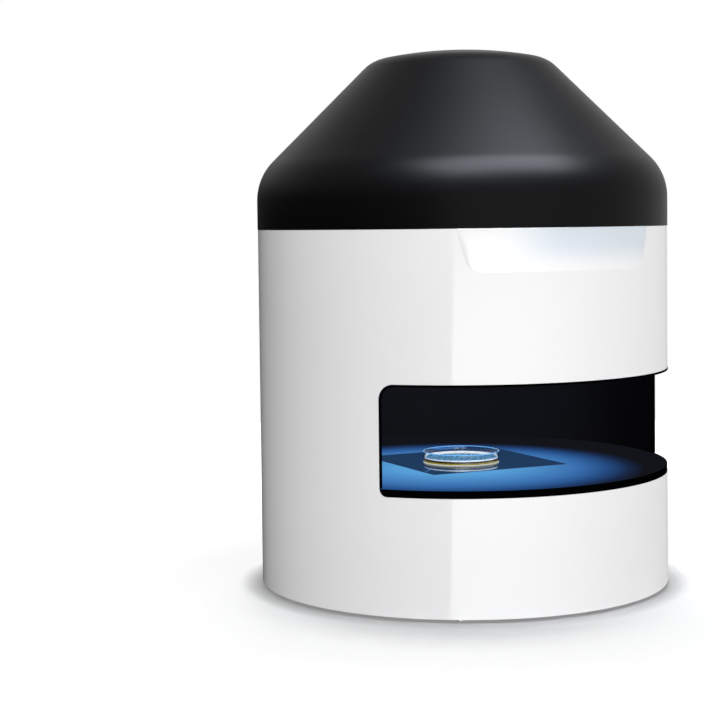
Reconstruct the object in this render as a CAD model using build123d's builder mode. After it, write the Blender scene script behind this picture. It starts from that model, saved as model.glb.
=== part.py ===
from build123d import *
from math import cos, degrees, radians, sin, sqrt, tan
import os

# Colony counter: a white steel drum with a black moulded cap. A window wrapped round the drum opens on a
# chamber where a Petri dish lies on a glass stage, lit from above and below, under a camera with its lens.
# Millimetres, +Z up, the front is -Y, and the origin is on the bench under the middle of the drum.

# --- Drum shell ---------------------------------------------------------------------------------------
drum_radius = 230.0  # outside of the painted sheet
shell_wall = 2.5
shell_lift = 3.0  # gap between the bench and the drum's lower edge
flange_width = 16.0  # turned-in lower edge that the base plate is screwed to
seam_height = 400.0  # where the cap meets the drum
seat_gap = 0.3  # round parts that are fixed inside one another
fold_radius = 1.2  # rounded lower edge of the sheet

# --- Window: angles are counted round the drum from the front, + towards +X ---------------------------
window_left = -50.6
window_right = 75.6
window_sill = 126.7
window_head = 242.3
window_head_radius = 16.0
window_sill_radius = 8.0
trim_width = 2.5  # edging seen round the window
trim_proud = 0.4  # how far the edging stands out of the drum
liner_gap = 0.8  # air between the drum and the chamber's wall
liner_wall = 1.2
liner_flange = 12.0

# --- Cap ----------------------------------------------------------------------------------------------
cap_overhang = 0.44  # the cap is this much larger in radius than the drum
cap_wall = 4.0
cone_foot_height = 458.3  # where the cone would meet the straight band
cone_angle = 44.7  # above the horizontal
total_height = 598.5
shoulder_radius = 62.0
crown_edge_radius = 39.0
crown_radius = 455.0
rib_thickness = 2.5
rib_count = 8
rib_depth = 10.0  # how far a rib stands in from the wall
rib_span = 120.0  # along the cone
rib_drop = 26.0  # below the cone's foot
rib_bend_drop = 15.5  # where a rib turns to follow the cone, below its foot
cap_ring_wall = 2.5
cap_ring_height = 48.0
cap_ring_spigot = 18.0  # part of the ring that stands up inside the cap
cap_screw_angles = (150.0, 210.0)
cap_screw_radius = 2.0
cap_screw_length = 9.0

# --- Badge: a bare curved plate under the seam --------------------------------------------------------
badge_bond = 0.1  # film that holds the plate on the drum
badge_proud = 0.44  # plate and film together
badge_half_angle_top = 29.9
badge_half_angle_low = 24.0
badge_height = 44.5
badge_corner = 12.0

# --- Stage --------------------------------------------------------------------------------------------
stage_thickness = 8.3
stage_lip_setback = 0.5
glass_side = 168.0
glass_thickness = 4.0
glass_proud = 0.5
glass_clearance = 0.5
glass_corner = 2.0
glass_chamfer = 0.4
glass_centre_y = -4.0
ledge_width = 8.0
gasket_thickness = 0.8
gasket_width = 6.0

# --- Camera deck and the ring light under it ----------------------------------------------------------
deck_clearance = 3.7  # from the window's head up to the deck
deck_thickness = 3.0
lens_aperture_radius = 40.0
deck_screw_count = 6
deck_screw_radius = 2.0
seat_turn = 30.0  # first seat of each ring of screws and pillars, from the front
ring_light_inner = 46.0
ring_light_outer = 105.0
ring_light_height = 14.0
ring_light_wall = 1.5
ring_light_row_radius = 76.0
ring_light_count = 24
ring_screw_circle = 96.0
ring_screw_count = 3
ring_screw_radius = 1.5
light_board_thickness = 1.6
light_board_margin = 1.0
led_side = 5.0
led_height = 1.6
diffuser_thickness = 2.0
diffuser_clearance = 0.2

# --- Base ---------------------------------------------------------------------------------------------
base_thickness = 3.0
base_screw_count = 6
base_screw_radius = 2.0
pillar_radius = 7.0
pillar_setback = 22.5  # from the drum's wall to the pillars' axes
pillar_count = 6
pillar_screw_radius = 2.5
pillar_screw_length = 12.0
stage_thread_depth = 5.0
foot_radius = 18.0
foot_setback = 44.5  # from the drum's wall to the feet's axes
foot_turn = 45.0  # first foot, from the front
foot_count = 4
foot_recess_radius = 9.0
foot_recess_depth = 2.5
foot_chamfer = 1.0
vent_slot_length = 34.0
vent_slot_width = 3.5
vent_slot_pitch = 9.0
vent_slot_count = 9
vent_row_offset = 130.0  # from the middle of the base, one row in front and one behind

# --- Light box under the stage ------------------------------------------------------------------------
light_box_side = 164.0
light_box_depth = 46.0
light_box_wall = 1.2
light_box_flange = 8.0
light_box_ledge = 5.0
light_box_ledge_drop = 10.0
light_diffuser_thickness = 3.0
backlight_rows = 5
backlight_pitch = 30.0

# --- Service panel, recessed in the back of the drum --------------------------------------------------
panel_width = 200.0
panel_low = 20.0
panel_high = 110.0
panel_wall = 1.5
panel_cut_gap = 0.3
panel_foot_width = 120.0
panel_foot_depth = 14.0
panel_screw_spacing = 90.0
panel_screw_radius = 1.5
panel_mid_height = 65.0

# --- Fan, behind the service panel --------------------------------------------------------------------
fan_x = -52.0
fan_side = 60.0
fan_depth = 20.0
fan_corner = 5.0
fan_bore_radius = 28.5
fan_hole_pitch = 50.0
fan_screw_radius = 1.8
fan_hub_radius = 13.5
fan_cup_depth = 3.0
fan_strut_width = 4.0
fan_shaft_radius = 1.5
fan_tip_gap = 0.8
fan_blade_count = 7
fan_blade_thickness = 1.2
fan_root_chord = 13.0
fan_tip_chord = 15.6
rotor_setback = 0.8  # from the frame's face in to the rotor
fan_root_pitch = 52.0
fan_tip_pitch = 34.0
running_gap = 0.05  # radial clearance of a shaft in its bore
end_gap = 0.4  # free play along a shaft
guard_radius = 31.0
guard_thickness = 1.0
guard_wire = 1.6
guard_ring_pitch = 6.0
guard_ring_count = 4

# --- Power entry: inlet, fuse drawer and rocker in one moulded body -----------------------------------
inlet_x = 55.0
inlet_flange_width = 31.0
inlet_flange_height = 62.0
inlet_flange_thickness = 2.5
inlet_body_width = 27.0
inlet_body_height = 57.0
inlet_body_depth = 26.0
inlet_corner = 3.0
inlet_mouth_width = 24.0
inlet_mouth_height = 16.0
inlet_mouth_depth = 19.0
inlet_mouth_drop = 17.0  # mouth's centre below the body's centre
inlet_mouth_chamfer = 4.0
pin_width = 2.0
pin_height = 4.0
pin_length = 13.5
pin_spacing = 14.0
earth_pin_rise = 4.0
fuse_width = 21.0
fuse_height = 8.4
fuse_length = 18.0
fuse_rise = -1.0
fuse_proud = 1.2
fuse_notch_width = 7.0
fuse_notch_height = 2.8
slide_gap = 0.3
rocker_length = 19.2
rocker_height = 12.0
rocker_rise = 17.5
rocker_end_proud = 3.2
rocker_dish = 2.0
rocker_depth = 5.0
rocker_draft = 1.0  # each end slopes in by this much
rocker_sink = 1.5  # pivot below the flange's face
rocker_tilt = 8.0
rocker_pivot_radius = 1.2
rocker_pivot_length = 1.5
rocker_side_gap = 0.7
rocker_well_depth = 11.0

# --- Data sockets -------------------------------------------------------------------------------------
socket_x = 6.0
socket_width = 12.0
socket_height = 11.0
socket_depth = 16.0
socket_proud = 1.0
socket_mouth_width = 8.6
socket_mouth_height = 8.0
socket_mouth_depth = 9.0
socket_tongue_width = 5.6
socket_tongue_height = 3.2
socket_tongue_length = 7.0
socket_pitch = 26.0
socket_gap = 0.2

# --- Electronics in the base --------------------------------------------------------------------------
board_width = 92.0
board_length = 150.0
board_thickness = 1.6
board_setback = 25.1  # from the drum's wall to the board's outer corners
board_margin = 5.0
standoff_height = 8.0
standoff_radius = 3.0
supply_width = 92.0
supply_length = 150.0
supply_height = 38.0
supply_setback = 28.8  # from the drum's wall to the supply's outer corners
supply_edge = 1.5
supply_vent_length = 64.0
supply_vent_pitch = 12.0
supply_vent_count = 8
supply_vent_width = 4.0
supply_vent_depth = 1.0
chip_side = 16.0
chip_pitch_across = 30.0
chip_pitch_along = 25.0
chip_setback = 37.5  # in front of the board's middle
chip_height = 2.5
connector_width = 16.0
connector_depth = 8.0
connector_height = 10.0
connector_pitch = 23.0
sink_side = 36.0
sink_offset = 18.0  # towards the drum's middle
sink_setback = 37.5  # behind the board's middle
sink_base = 3.0
sink_height = 16.0
sink_fin = 2.0
sink_pitch = 8.0
sink_fins = 5
capacitor_radius = 5.0
capacitor_height = 16.0
capacitor_offset = 26.0
capacitor_pitch = 15.0
capacitor_count = 3
terminal_length = 60.0
terminal_width = 14.0
terminal_height = 16.0
terminal_pole_count = 5
terminal_rib = 2.0
terminal_notch = 4.0

# --- Camera, its stand and its lens -------------------------------------------------------------------
mast_y = 62.0  # face of the stand that the arm is bolted to
mast_width = 84.0
mast_headroom = 54.5  # from the cap's top down to the stand's
mast_wall = 3.0
mast_flange = 26.0
mast_foot_depth = 46.0
mast_screw_radius = 2.5
mast_screw_spacing = 50.0
mast_screw_setbacks = (18.4, 36.8)  # behind the stand's web
arm_plate_height = 70.0
arm_drop = 4.0  # from the stand's top down to the arm's
arm_plate_width = 62.0
arm_wall = 5.0
arm_gusset_height = 34.0
camera_side = 58.0
camera_height = 66.0
camera_corner = 3.0
camera_fin_count = 5
camera_fin_pitch = 9.0
camera_fin_slot = 3.0
camera_fin_depth = 2.5
mast_taper = 120.0
arm_screw_spacing = 40.0
arm_screw_inset = 12.0
iris_lock_angle = 0.0
focus_lock_angle = 40.0
mount_ring_radius = 25.0
mount_ring_height = 6.0
lens_rear_radius = 23.0
lens_rear_height = 9.0
iris_core_radius = 20.0
iris_ring_height = 14.0
iris_ring_radius = 26.5
lens_waist_radius = 25.0
lens_waist_height = 16.0
focus_core_radius = 22.0
focus_ring_height = 26.0
focus_ring_radius = 29.5
lens_nose_radius = 28.0
lens_nose_height = 34.0
lens_bore_radius = 24.0
lens_bore_depth = 9.0
front_lens_edge = 3.0
front_lens_bulge = 3.0
front_lens_gap = 0.2
ring_play = 0.3  # each side of a ring, along the lens
grip_count = 18
grip_width = 3.0
grip_depth = 1.0
lock_knob_radius = 3.5
lock_knob_length = 7.0
lock_shank_radius = 1.5
lock_shank_gap = 0.05

# --- Petri dish ---------------------------------------------------------------------------------------
dish_x = -8.0
dish_y = -10.0
dish_radius = 43.0
dish_height = 12.0
dish_wall = 1.2
dish_floor = 1.1
dish_lift = 0.3
dish_foot_ring = 0.4
agar_depth = 3.0
agar_gap = 0.1

screw_head_spread = 1.9  # head's radius over the shank's
screw_head_rise = 1.2  # head's height over the shank's radius

# --- Derived levels and radii -------------------------------------------------------------------------
shell_inner = drum_radius - shell_wall
fixed_radius = shell_inner - seat_gap
base_bottom = shell_lift + shell_wall
base_top = base_bottom + base_thickness
stage_top = window_sill + stage_thickness
liner_outer = shell_inner - liner_gap
liner_inner = liner_outer - liner_wall
deck_bottom = window_head + deck_clearance
deck_top = deck_bottom + deck_thickness
cap_radius = drum_radius + cap_overhang
cap_inner = cap_radius - cap_wall
pillar_circle = shell_inner - pillar_setback
foot_circle = shell_inner - foot_setback
board_x = sqrt((shell_inner - board_setback) ** 2 - (board_length / 2) ** 2) - board_width / 2
supply_x = supply_width / 2 - sqrt((shell_inner - supply_setback) ** 2 - (supply_length / 2) ** 2)
mast_height = total_height - mast_headroom - deck_top
camera_top_height = total_height - mast_headroom - arm_drop - arm_plate_height
glass_top = stage_top + glass_proud
glass_bottom = glass_top - glass_thickness
pocket_floor = glass_bottom - gasket_thickness
well_side = glass_side - 2 * ledge_width
pocket_side = glass_side + 2 * glass_clearance
liner_flange_circle = liner_inner - liner_flange / 2
base_flange_circle = shell_inner - flange_width / 2
ring_bore = cap_inner - seat_gap - cap_ring_wall
ring_light_bottom = deck_bottom - ring_light_height
ring_board_bottom = deck_bottom - ring_light_wall - light_board_thickness
light_box_bottom = window_sill - light_box_depth
light_box_inside = light_box_side - 2 * light_box_wall
ledge_inside = light_box_inside - 2 * light_box_ledge
ledge_top = window_sill - light_box_ledge_drop
panel_face = sqrt(fixed_radius**2 - (panel_width / 2) ** 2)
panel_back = panel_face - panel_wall
inlet_face = panel_face + inlet_flange_thickness
beyond = 10.0  # how far cutters run past what they cut

# The cone's line from the straight band up to the crown's sphere, whose centre is on the drum's axis.
crown_centre = total_height - crown_radius
cone_rise = cone_foot_height - crown_centre
half_chord = cone_rise * sin(radians(cone_angle)) - cap_radius * cos(radians(cone_angle))
cone_length = sqrt(half_chord**2 + crown_radius**2 - cap_radius**2 - cone_rise**2) - half_chord
cone_top_radius = cap_radius - cone_length * cos(radians(cone_angle))
cone_top_height = cone_foot_height + cone_length * sin(radians(cone_angle))


# The shoulder starts above the seam, whatever its radius.
shoulder_room = (cone_foot_height - seam_height) / tan(radians(45 - cone_angle / 2))
shoulder_fillet = min(shoulder_radius, shoulder_room)


def radial_plane(angle, radius=0.0, height=0.0):
    """Upright plane through the axis: its x runs outwards at that angle from the front, its y is up."""
    out = Vector(sin(radians(angle)), -cos(radians(angle)), 0)
    side = Vector(-cos(radians(angle)), -sin(radians(angle)), 0)
    return Plane(origin=out * radius + Vector(0, 0, height), x_dir=out, z_dir=side)


def facing_plane(angle, radius, height):
    """Upright plane that faces outwards at that angle from the front."""
    out = Vector(sin(radians(angle)), -cos(radians(angle)), 0)
    side = Vector(cos(radians(angle)), sin(radians(angle)), 0)
    return Plane(origin=out * radius + Vector(0, 0, height), x_dir=side, z_dir=out)


def rear_plane(y, height=panel_mid_height):
    """Upright plane that faces +Y, seen from behind: its x runs towards -X."""
    return Plane(origin=(0, y, height), x_dir=(-1, 0, 0), z_dir=(0, 1, 0))


def is_level_line(edge):
    return edge.geom_type == GeomType.LINE and abs(edge.tangent_at(0.5).Z) < 0.01


def window_block(inner, outer, inset=0.0):
    """The window's outline as a sector between two radii, drawn in by inset all round."""
    turn = degrees(inset / drum_radius)
    with BuildPart() as block:
        with BuildSketch(radial_plane(window_left + turn)):
            with Locations(((inner + outer) / 2, (window_sill + window_head) / 2)):
                Rectangle(outer - inner, window_head - window_sill - 2 * inset)
        revolve(axis=Axis.Z, revolution_arc=window_right - window_left - 2 * turn)
        fillet(block.edges().filter_by(is_level_line).group_by(Axis.Z)[-1], window_head_radius - inset)
        fillet(block.edges().filter_by(is_level_line).group_by(Axis.Z)[0], window_sill_radius - inset)
    return block.part


def screw_set(seats, shank_radius, length):
    """Pan-head screws, one on each seat plane, with the shank going into the seat."""
    with BuildPart() as screws:
        with BuildSketch(*seats):
            Circle(screw_head_spread * shank_radius)
        extrude(amount=screw_head_rise * shank_radius)
        with BuildSketch(*seats):
            Circle(shank_radius)
        extrude(amount=-length)
    return screws


def around(radius, count, height, first=0.0, down=False):
    """Level planes spaced evenly round the drum's axis."""
    turn = 360.0 / count
    spots = [Vector(radius * sin(radians(first + turn * i)), -radius * cos(radians(first + turn * i)), height)
             for i in range(count)]
    return [Plane(origin=spot, z_dir=(0, 0, -1 if down else 1)) for spot in spots]


def save(block, name):
    block.part.label = name
    export_step(block.part, f"parts/{name}.step")


ring_light_seats = [
    Plane(origin=(seat.origin.X, seat.origin.Y + glass_centre_y, deck_top))
    for seat in around(ring_screw_circle, ring_screw_count, deck_top)
]
mast_screw_seats = [
    Plane(origin=(side * mast_screw_spacing / 2, mast_y + mast_wall + setback, deck_top + mast_wall))
    for side in (-1, 1)
    for setback in mast_screw_setbacks
]
arm_screw_seats = [
    Plane(
        origin=(across * arm_screw_spacing / 2, mast_y - arm_wall, camera_top_height + arm_plate_height - drop),
        z_dir=(0, -1, 0),
    )
    for across in (-1, 1)
    for drop in (arm_screw_inset, 2 * arm_screw_inset)
]
panel_screw_seats = [
    Plane(origin=(side * panel_screw_spacing / 2, panel_face - panel_foot_depth / 2 - panel_wall / 2,
                  base_top + panel_wall))
    for side in (-1, 1)
]
fan_screw_seats = [
    Plane(
        origin=(fan_x + across * fan_hole_pitch / 2, panel_face + guard_thickness,
                panel_mid_height + up * fan_hole_pitch / 2),
        z_dir=(0, 1, 0),
    )
    for across in (-1, 1)
    for up in (-1, 1)
]
cap_screw_height = seam_height + cap_ring_spigot / 2
cap_screw_axes = [facing_plane(angle, 0, cap_screw_height) for angle in cap_screw_angles]
rocker_mid_height = panel_mid_height + rocker_rise
rocker_pivot_y = inlet_face - rocker_sink
window_cut = window_block(liner_inner - beyond, drum_radius + beyond)

# --- Outer shell: rolled sheet with its lower edge turned in, the window and the service opening cut out ---
with BuildPart() as outer_shell:
    with BuildSketch(Plane.XZ):
        with BuildLine():
            Polyline(
                (shell_inner - flange_width, shell_lift),
                (drum_radius, shell_lift),
                (drum_radius, seam_height),
                (shell_inner, seam_height),
                (shell_inner, base_bottom),
                (shell_inner - flange_width, base_bottom),
                close=True,
            )
        make_face()
    revolve(axis=Axis.Z)
    fillet(outer_shell.edges().group_by(Axis.Z)[0].sort_by(SortBy.RADIUS)[-1], fold_radius)
    add(window_cut, mode=Mode.SUBTRACT)
    with BuildSketch(rear_plane(0, (panel_low + panel_high) / 2)):
        Rectangle(panel_width + 2 * panel_cut_gap, panel_high - panel_low + 2 * panel_cut_gap)
    extrude(amount=drum_radius + beyond, mode=Mode.SUBTRACT)
    with BuildSketch(*around(base_flange_circle, base_screw_count, shell_lift, seat_turn)):
        Circle(base_screw_radius)
    extrude(amount=shell_wall, mode=Mode.SUBTRACT)
save(outer_shell, "outer_shell")

# --- Window trim: black edging over the cut edges of the drum and the liner, standing on the stage plate ---
trim_outline = window_block(liner_inner, drum_radius + trim_proud)
trim_opening = window_block(liner_inner - beyond, drum_radius + beyond, trim_width)
with BuildPart() as window_trim:
    add(trim_outline)
    add(trim_opening, mode=Mode.SUBTRACT)
    with BuildSketch(Plane.XY.offset(window_sill - beyond)):
        Circle(drum_radius + beyond)
    extrude(amount=stage_thickness + beyond, mode=Mode.SUBTRACT)
save(window_trim, "window_trim")

# --- Badge: thin bare plate bent round the drum, wider at its top, with round lower corners -----------
badge_top_half = drum_radius * sin(radians(badge_half_angle_top))
badge_low_half = drum_radius * sin(radians(badge_half_angle_low))
with BuildPart() as badge_plate:
    with BuildSketch(facing_plane(0, 0, seam_height)):
        with BuildLine():
            Polyline(
                (-badge_top_half, 0),
                (badge_top_half, 0),
                (badge_low_half, -badge_height),
                (-badge_low_half, -badge_height),
                close=True,
            )
        badge_face = make_face()
        fillet(badge_face.vertices().group_by(Axis.Y)[0], badge_corner)
    extrude(amount=drum_radius + beyond)
    with BuildSketch(Plane.XY.offset(seam_height - badge_height)):
        Circle(drum_radius + badge_proud)
    extrude(amount=badge_height, mode=Mode.INTERSECT)
    with BuildSketch(Plane.XY.offset(seam_height - badge_height)):
        Circle(drum_radius + badge_bond)
    extrude(amount=badge_height, mode=Mode.SUBTRACT)
save(badge_plate, "badge_plate")

# --- Top cap: moulding with a straight band, a broad shoulder, a cone and a crowned top, ribbed inside ---
with BuildPart() as top_cap:
    with BuildSketch(Plane.XZ):
        with BuildLine():
            foot = Line((0, seam_height - cap_wall), (cap_radius, seam_height - cap_wall))
            band = Line(foot @ 1, (cap_radius, cone_foot_height))
            cone = Line(band @ 1, (cone_top_radius, cone_top_height))
            crown = RadiusArc(cone @ 1, (0, total_height), -crown_radius)
            Line(crown @ 1, foot @ 0)
        cap_section = make_face()
        mirror(cap_section, about=Plane.YZ)
        corners = vertices().sort_by_distance((cap_radius, cone_foot_height, 0))
        fillet(corners.filter_by(lambda corner: corner.Y == corners[0].Y), shoulder_fillet)
        corners = vertices().sort_by_distance((cone_top_radius, cone_top_height, 0))
        fillet(corners.filter_by(lambda corner: corner.Y == corners[0].Y), crown_edge_radius)
        offset(amount=-cap_wall, mode=Mode.SUBTRACT)
        with Locations((0, seam_height - cap_wall / 2)):
            Rectangle(2 * cap_radius, cap_wall, mode=Mode.SUBTRACT)
        with Locations((-cap_radius, seam_height)):
            Rectangle(2 * cap_radius, 2 * total_height, mode=Mode.SUBTRACT)
    revolve(axis=Axis.Z)
    # Ribs brace the cone from inside, from the band up to the crown.
    rib_foot = cone_foot_height - rib_drop
    rib_run = rib_span * cos(radians(cone_angle))
    rib_rise = rib_span * sin(radians(cone_angle))
    for step in range(rib_count):
        with BuildSketch(radial_plane(step * 360 / rib_count)):
            with BuildLine():
                Polyline(
                    (cap_inner + cap_wall / 2, rib_foot),
                    (cap_inner + cap_wall / 2, cone_foot_height - rib_bend_drop),
                    (cap_inner + cap_wall / 2 - rib_run, cone_foot_height - rib_bend_drop + rib_rise),
                    (cap_inner - rib_run - rib_depth, cone_foot_height - rib_bend_drop + rib_rise - rib_depth),
                    (cap_inner - rib_depth, rib_foot),
                    close=True,
                )
            make_face()
        extrude(amount=rib_thickness / 2, both=True)
    # Two holes at the back take the screws into the ring below.
    with BuildSketch(*cap_screw_axes):
        Circle(cap_screw_radius)
    extrude(amount=cap_radius, mode=Mode.SUBTRACT)
save(top_cap, "top_cap")

# --- Cap ring: steel ring inside the drum's top edge that stands up into the cap and takes its screws ---
with BuildPart() as cap_ring:
    with BuildSketch(Plane.XZ):
        with BuildLine():
            Polyline(
                (ring_bore, seam_height + cap_ring_spigot - cap_ring_height),
                (fixed_radius, seam_height + cap_ring_spigot - cap_ring_height),
                (fixed_radius, seam_height - seat_gap),
                (cap_inner - seat_gap, seam_height - seat_gap),
                (cap_inner - seat_gap, seam_height + cap_ring_spigot),
                (ring_bore, seam_height + cap_ring_spigot),
                close=True,
            )
        make_face()
    revolve(axis=Axis.Z)
    with BuildSketch(*cap_screw_axes):
        Circle(cap_screw_radius)
    extrude(amount=cap_radius, mode=Mode.SUBTRACT)
save(cap_ring, "cap_ring")

cap_screws = screw_set(
    [facing_plane(angle, cap_radius, cap_screw_height) for angle in cap_screw_angles],
    cap_screw_radius,
    cap_screw_length,
)
save(cap_screws, "cap_screws")

# --- Stage plate: round plate that carries the chamber's wall; its lip fills the window's lower edge ---
stage_lip = window_block(fixed_radius - beyond, drum_radius - stage_lip_setback)
with BuildPart() as stage_plate:
    add(stage_lip)
    with BuildSketch(Plane.XY.offset(stage_top)):
        Circle(drum_radius + beyond)
    extrude(amount=window_head - stage_top, mode=Mode.SUBTRACT)
    with BuildSketch(Plane.XY.offset(window_sill)):
        Circle(fixed_radius)
    extrude(amount=stage_thickness)
    with BuildSketch(Plane.XY.offset(pocket_floor)):
        with Locations((0, glass_centre_y)):
            RectangleRounded(pocket_side, pocket_side, glass_corner + glass_clearance)
    extrude(amount=stage_top - pocket_floor, mode=Mode.SUBTRACT)
    with BuildSketch(Plane.XY.offset(window_sill)):
        with Locations((0, glass_centre_y)):
            Rectangle(well_side, well_side)
    extrude(amount=stage_thickness, mode=Mode.SUBTRACT)
    with BuildSketch(*around(pillar_circle, pillar_count, window_sill, seat_turn)):
        Circle(pillar_screw_radius)
    extrude(amount=stage_thread_depth, mode=Mode.SUBTRACT)
save(stage_plate, "stage_plate")

# --- Stage glass: square dark plate that lies on a gasket in the stage plate's pocket -----------------
with BuildPart() as stage_gasket:
    with BuildSketch(Plane.XY.offset(pocket_floor)):
        with Locations((0, glass_centre_y)):
            Rectangle(well_side + 2 * gasket_width, well_side + 2 * gasket_width)
            Rectangle(well_side, well_side, mode=Mode.SUBTRACT)
    extrude(amount=gasket_thickness)
save(stage_gasket, "stage_gasket")

with BuildPart() as stage_glass:
    with BuildSketch(Plane.XY.offset(glass_bottom)):
        with Locations((0, glass_centre_y)):
            RectangleRounded(glass_side, glass_side, glass_corner)
    extrude(amount=glass_thickness)
    chamfer(stage_glass.edges().group_by(Axis.Z)[-1], glass_chamfer)
save(stage_glass, "stage_glass")

# --- Chamber liner: dark sheet wall behind the drum, with the same window and a turned-in top edge ----
with BuildPart() as chamber_liner:
    with BuildSketch(Plane.XZ):
        with BuildLine():
            Polyline(
                (liner_inner, stage_top),
                (liner_outer, stage_top),
                (liner_outer, deck_bottom),
                (liner_inner - liner_flange, deck_bottom),
                (liner_inner - liner_flange, deck_bottom - liner_wall),
                (liner_inner, deck_bottom - liner_wall),
                close=True,
            )
        make_face()
    revolve(axis=Axis.Z)
    add(window_cut, mode=Mode.SUBTRACT)
    with BuildSketch(*around(liner_flange_circle, deck_screw_count, deck_bottom - liner_wall, seat_turn)):
        Circle(deck_screw_radius)
    extrude(amount=liner_wall, mode=Mode.SUBTRACT)
save(chamber_liner, "chamber_liner")

# --- Camera deck: round steel plate over the chamber, with the aperture that the lens looks through ---
with BuildPart() as camera_deck:
    with BuildSketch(Plane.XY.offset(deck_bottom)):
        Circle(fixed_radius)
        with Locations((0, glass_centre_y)):
            Circle(lens_aperture_radius, mode=Mode.SUBTRACT)
    extrude(amount=deck_thickness)
    with BuildSketch(*around(liner_flange_circle, deck_screw_count, deck_bottom, seat_turn)):
        Circle(deck_screw_radius)
    extrude(amount=deck_thickness, mode=Mode.SUBTRACT)
    with BuildSketch(*mast_screw_seats):
        Circle(mast_screw_radius)
    extrude(amount=-deck_thickness - mast_wall, mode=Mode.SUBTRACT)
    with BuildSketch(*ring_light_seats):
        Circle(ring_screw_radius)
    extrude(amount=-deck_thickness, mode=Mode.SUBTRACT)
save(camera_deck, "camera_deck")

deck_screws = screw_set(
    around(liner_flange_circle, deck_screw_count, deck_top, seat_turn),
    deck_screw_radius,
    deck_thickness + liner_wall,
)
save(deck_screws, "deck_screws")

# --- Ring light: channel under the deck with a board of LEDs behind an opal ring ----------------------
with BuildPart() as ring_light_housing:
    with BuildSketch(Plane.XY.offset(ring_light_bottom)):
        with Locations((0, glass_centre_y)):
            Circle(ring_light_outer)
            Circle(ring_light_inner, mode=Mode.SUBTRACT)
    extrude(amount=ring_light_height)
    with BuildSketch(Plane.XY.offset(ring_light_bottom)):
        with Locations((0, glass_centre_y)):
            Circle(ring_light_outer - ring_light_wall)
            Circle(ring_light_inner + ring_light_wall, mode=Mode.SUBTRACT)
    extrude(amount=ring_light_height - ring_light_wall, mode=Mode.SUBTRACT)
    with BuildSketch(*ring_light_seats):
        Circle(ring_screw_radius)
    extrude(amount=-deck_thickness - ring_light_wall, mode=Mode.SUBTRACT)
save(ring_light_housing, "ring_light_housing")

with BuildPart() as ring_light_board:
    with BuildSketch(Plane.XY.offset(ring_board_bottom)):
        with Locations((0, glass_centre_y)):
            Circle(ring_light_outer - ring_light_wall - light_board_margin)
            Circle(ring_light_inner + ring_light_wall + light_board_margin, mode=Mode.SUBTRACT)
    extrude(amount=light_board_thickness)
save(ring_light_board, "ring_light_board")

with BuildPart() as ring_light_leds:
    with BuildSketch(Plane.XY.offset(ring_board_bottom)):
        with Locations((0, glass_centre_y)):
            with PolarLocations(ring_light_row_radius, ring_light_count):
                Rectangle(led_side, led_side)
    extrude(amount=-led_height)
save(ring_light_leds, "ring_light_leds")

with BuildPart() as ring_light_diffuser:
    with BuildSketch(Plane.XY.offset(ring_light_bottom)):
        with Locations((0, glass_centre_y)):
            Circle(ring_light_outer - ring_light_wall - diffuser_clearance)
            Circle(ring_light_inner + ring_light_wall + diffuser_clearance, mode=Mode.SUBTRACT)
    extrude(amount=diffuser_thickness)
save(ring_light_diffuser, "ring_light_diffuser")

ring_light_screws = screw_set(ring_light_seats, ring_screw_radius, deck_thickness + ring_light_wall)
save(ring_light_screws, "ring_light_screws")

# --- Light box: open tray under the stage with rows of LEDs and an opal plate on an inner ledge -------
with BuildPart() as light_box:
    with BuildSketch(Plane.XY.offset(light_box_bottom)):
        with Locations((0, glass_centre_y)):
            Rectangle(light_box_side, light_box_side)
    extrude(amount=light_box_depth)
    with BuildSketch(Plane.XY.offset(window_sill - light_box_wall)):
        with Locations((0, glass_centre_y)):
            Rectangle(light_box_side + 2 * light_box_flange, light_box_side + 2 * light_box_flange)
    extrude(amount=light_box_wall)
    with BuildSketch(Plane.XY.offset(light_box_bottom + light_box_wall)):
        with Locations((0, glass_centre_y)):
            Rectangle(light_box_inside, light_box_inside)
    extrude(amount=light_box_depth - light_box_wall, mode=Mode.SUBTRACT)
    with BuildSketch(Plane.XY.offset(ledge_top - light_box_wall)):
        with Locations((0, glass_centre_y)):
            Rectangle(light_box_inside, light_box_inside)
            Rectangle(ledge_inside, ledge_inside, mode=Mode.SUBTRACT)
    extrude(amount=light_box_wall)
save(light_box, "light_box")

with BuildPart() as backlight_board:
    with BuildSketch(Plane.XY.offset(light_box_bottom + light_box_wall)):
        with Locations((0, glass_centre_y)):
            Rectangle(light_box_inside - 2 * light_board_margin, light_box_inside - 2 * light_board_margin)
    extrude(amount=light_board_thickness)
save(backlight_board, "backlight_board")

with BuildPart() as backlight_leds:
    with BuildSketch(Plane.XY.offset(light_box_bottom + light_box_wall + light_board_thickness)):
        with Locations((0, glass_centre_y)):
            with GridLocations(backlight_pitch, backlight_pitch, backlight_rows, backlight_rows):
                Rectangle(led_side, led_side)
    extrude(amount=led_height)
save(backlight_leds, "backlight_leds")

with BuildPart() as backlight_diffuser:
    with BuildSketch(Plane.XY.offset(ledge_top)):
        with Locations((0, glass_centre_y)):
            Rectangle(light_box_inside - 2 * diffuser_clearance, light_box_inside - 2 * diffuser_clearance)
    extrude(amount=light_diffuser_thickness)
save(backlight_diffuser, "backlight_diffuser")

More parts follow.
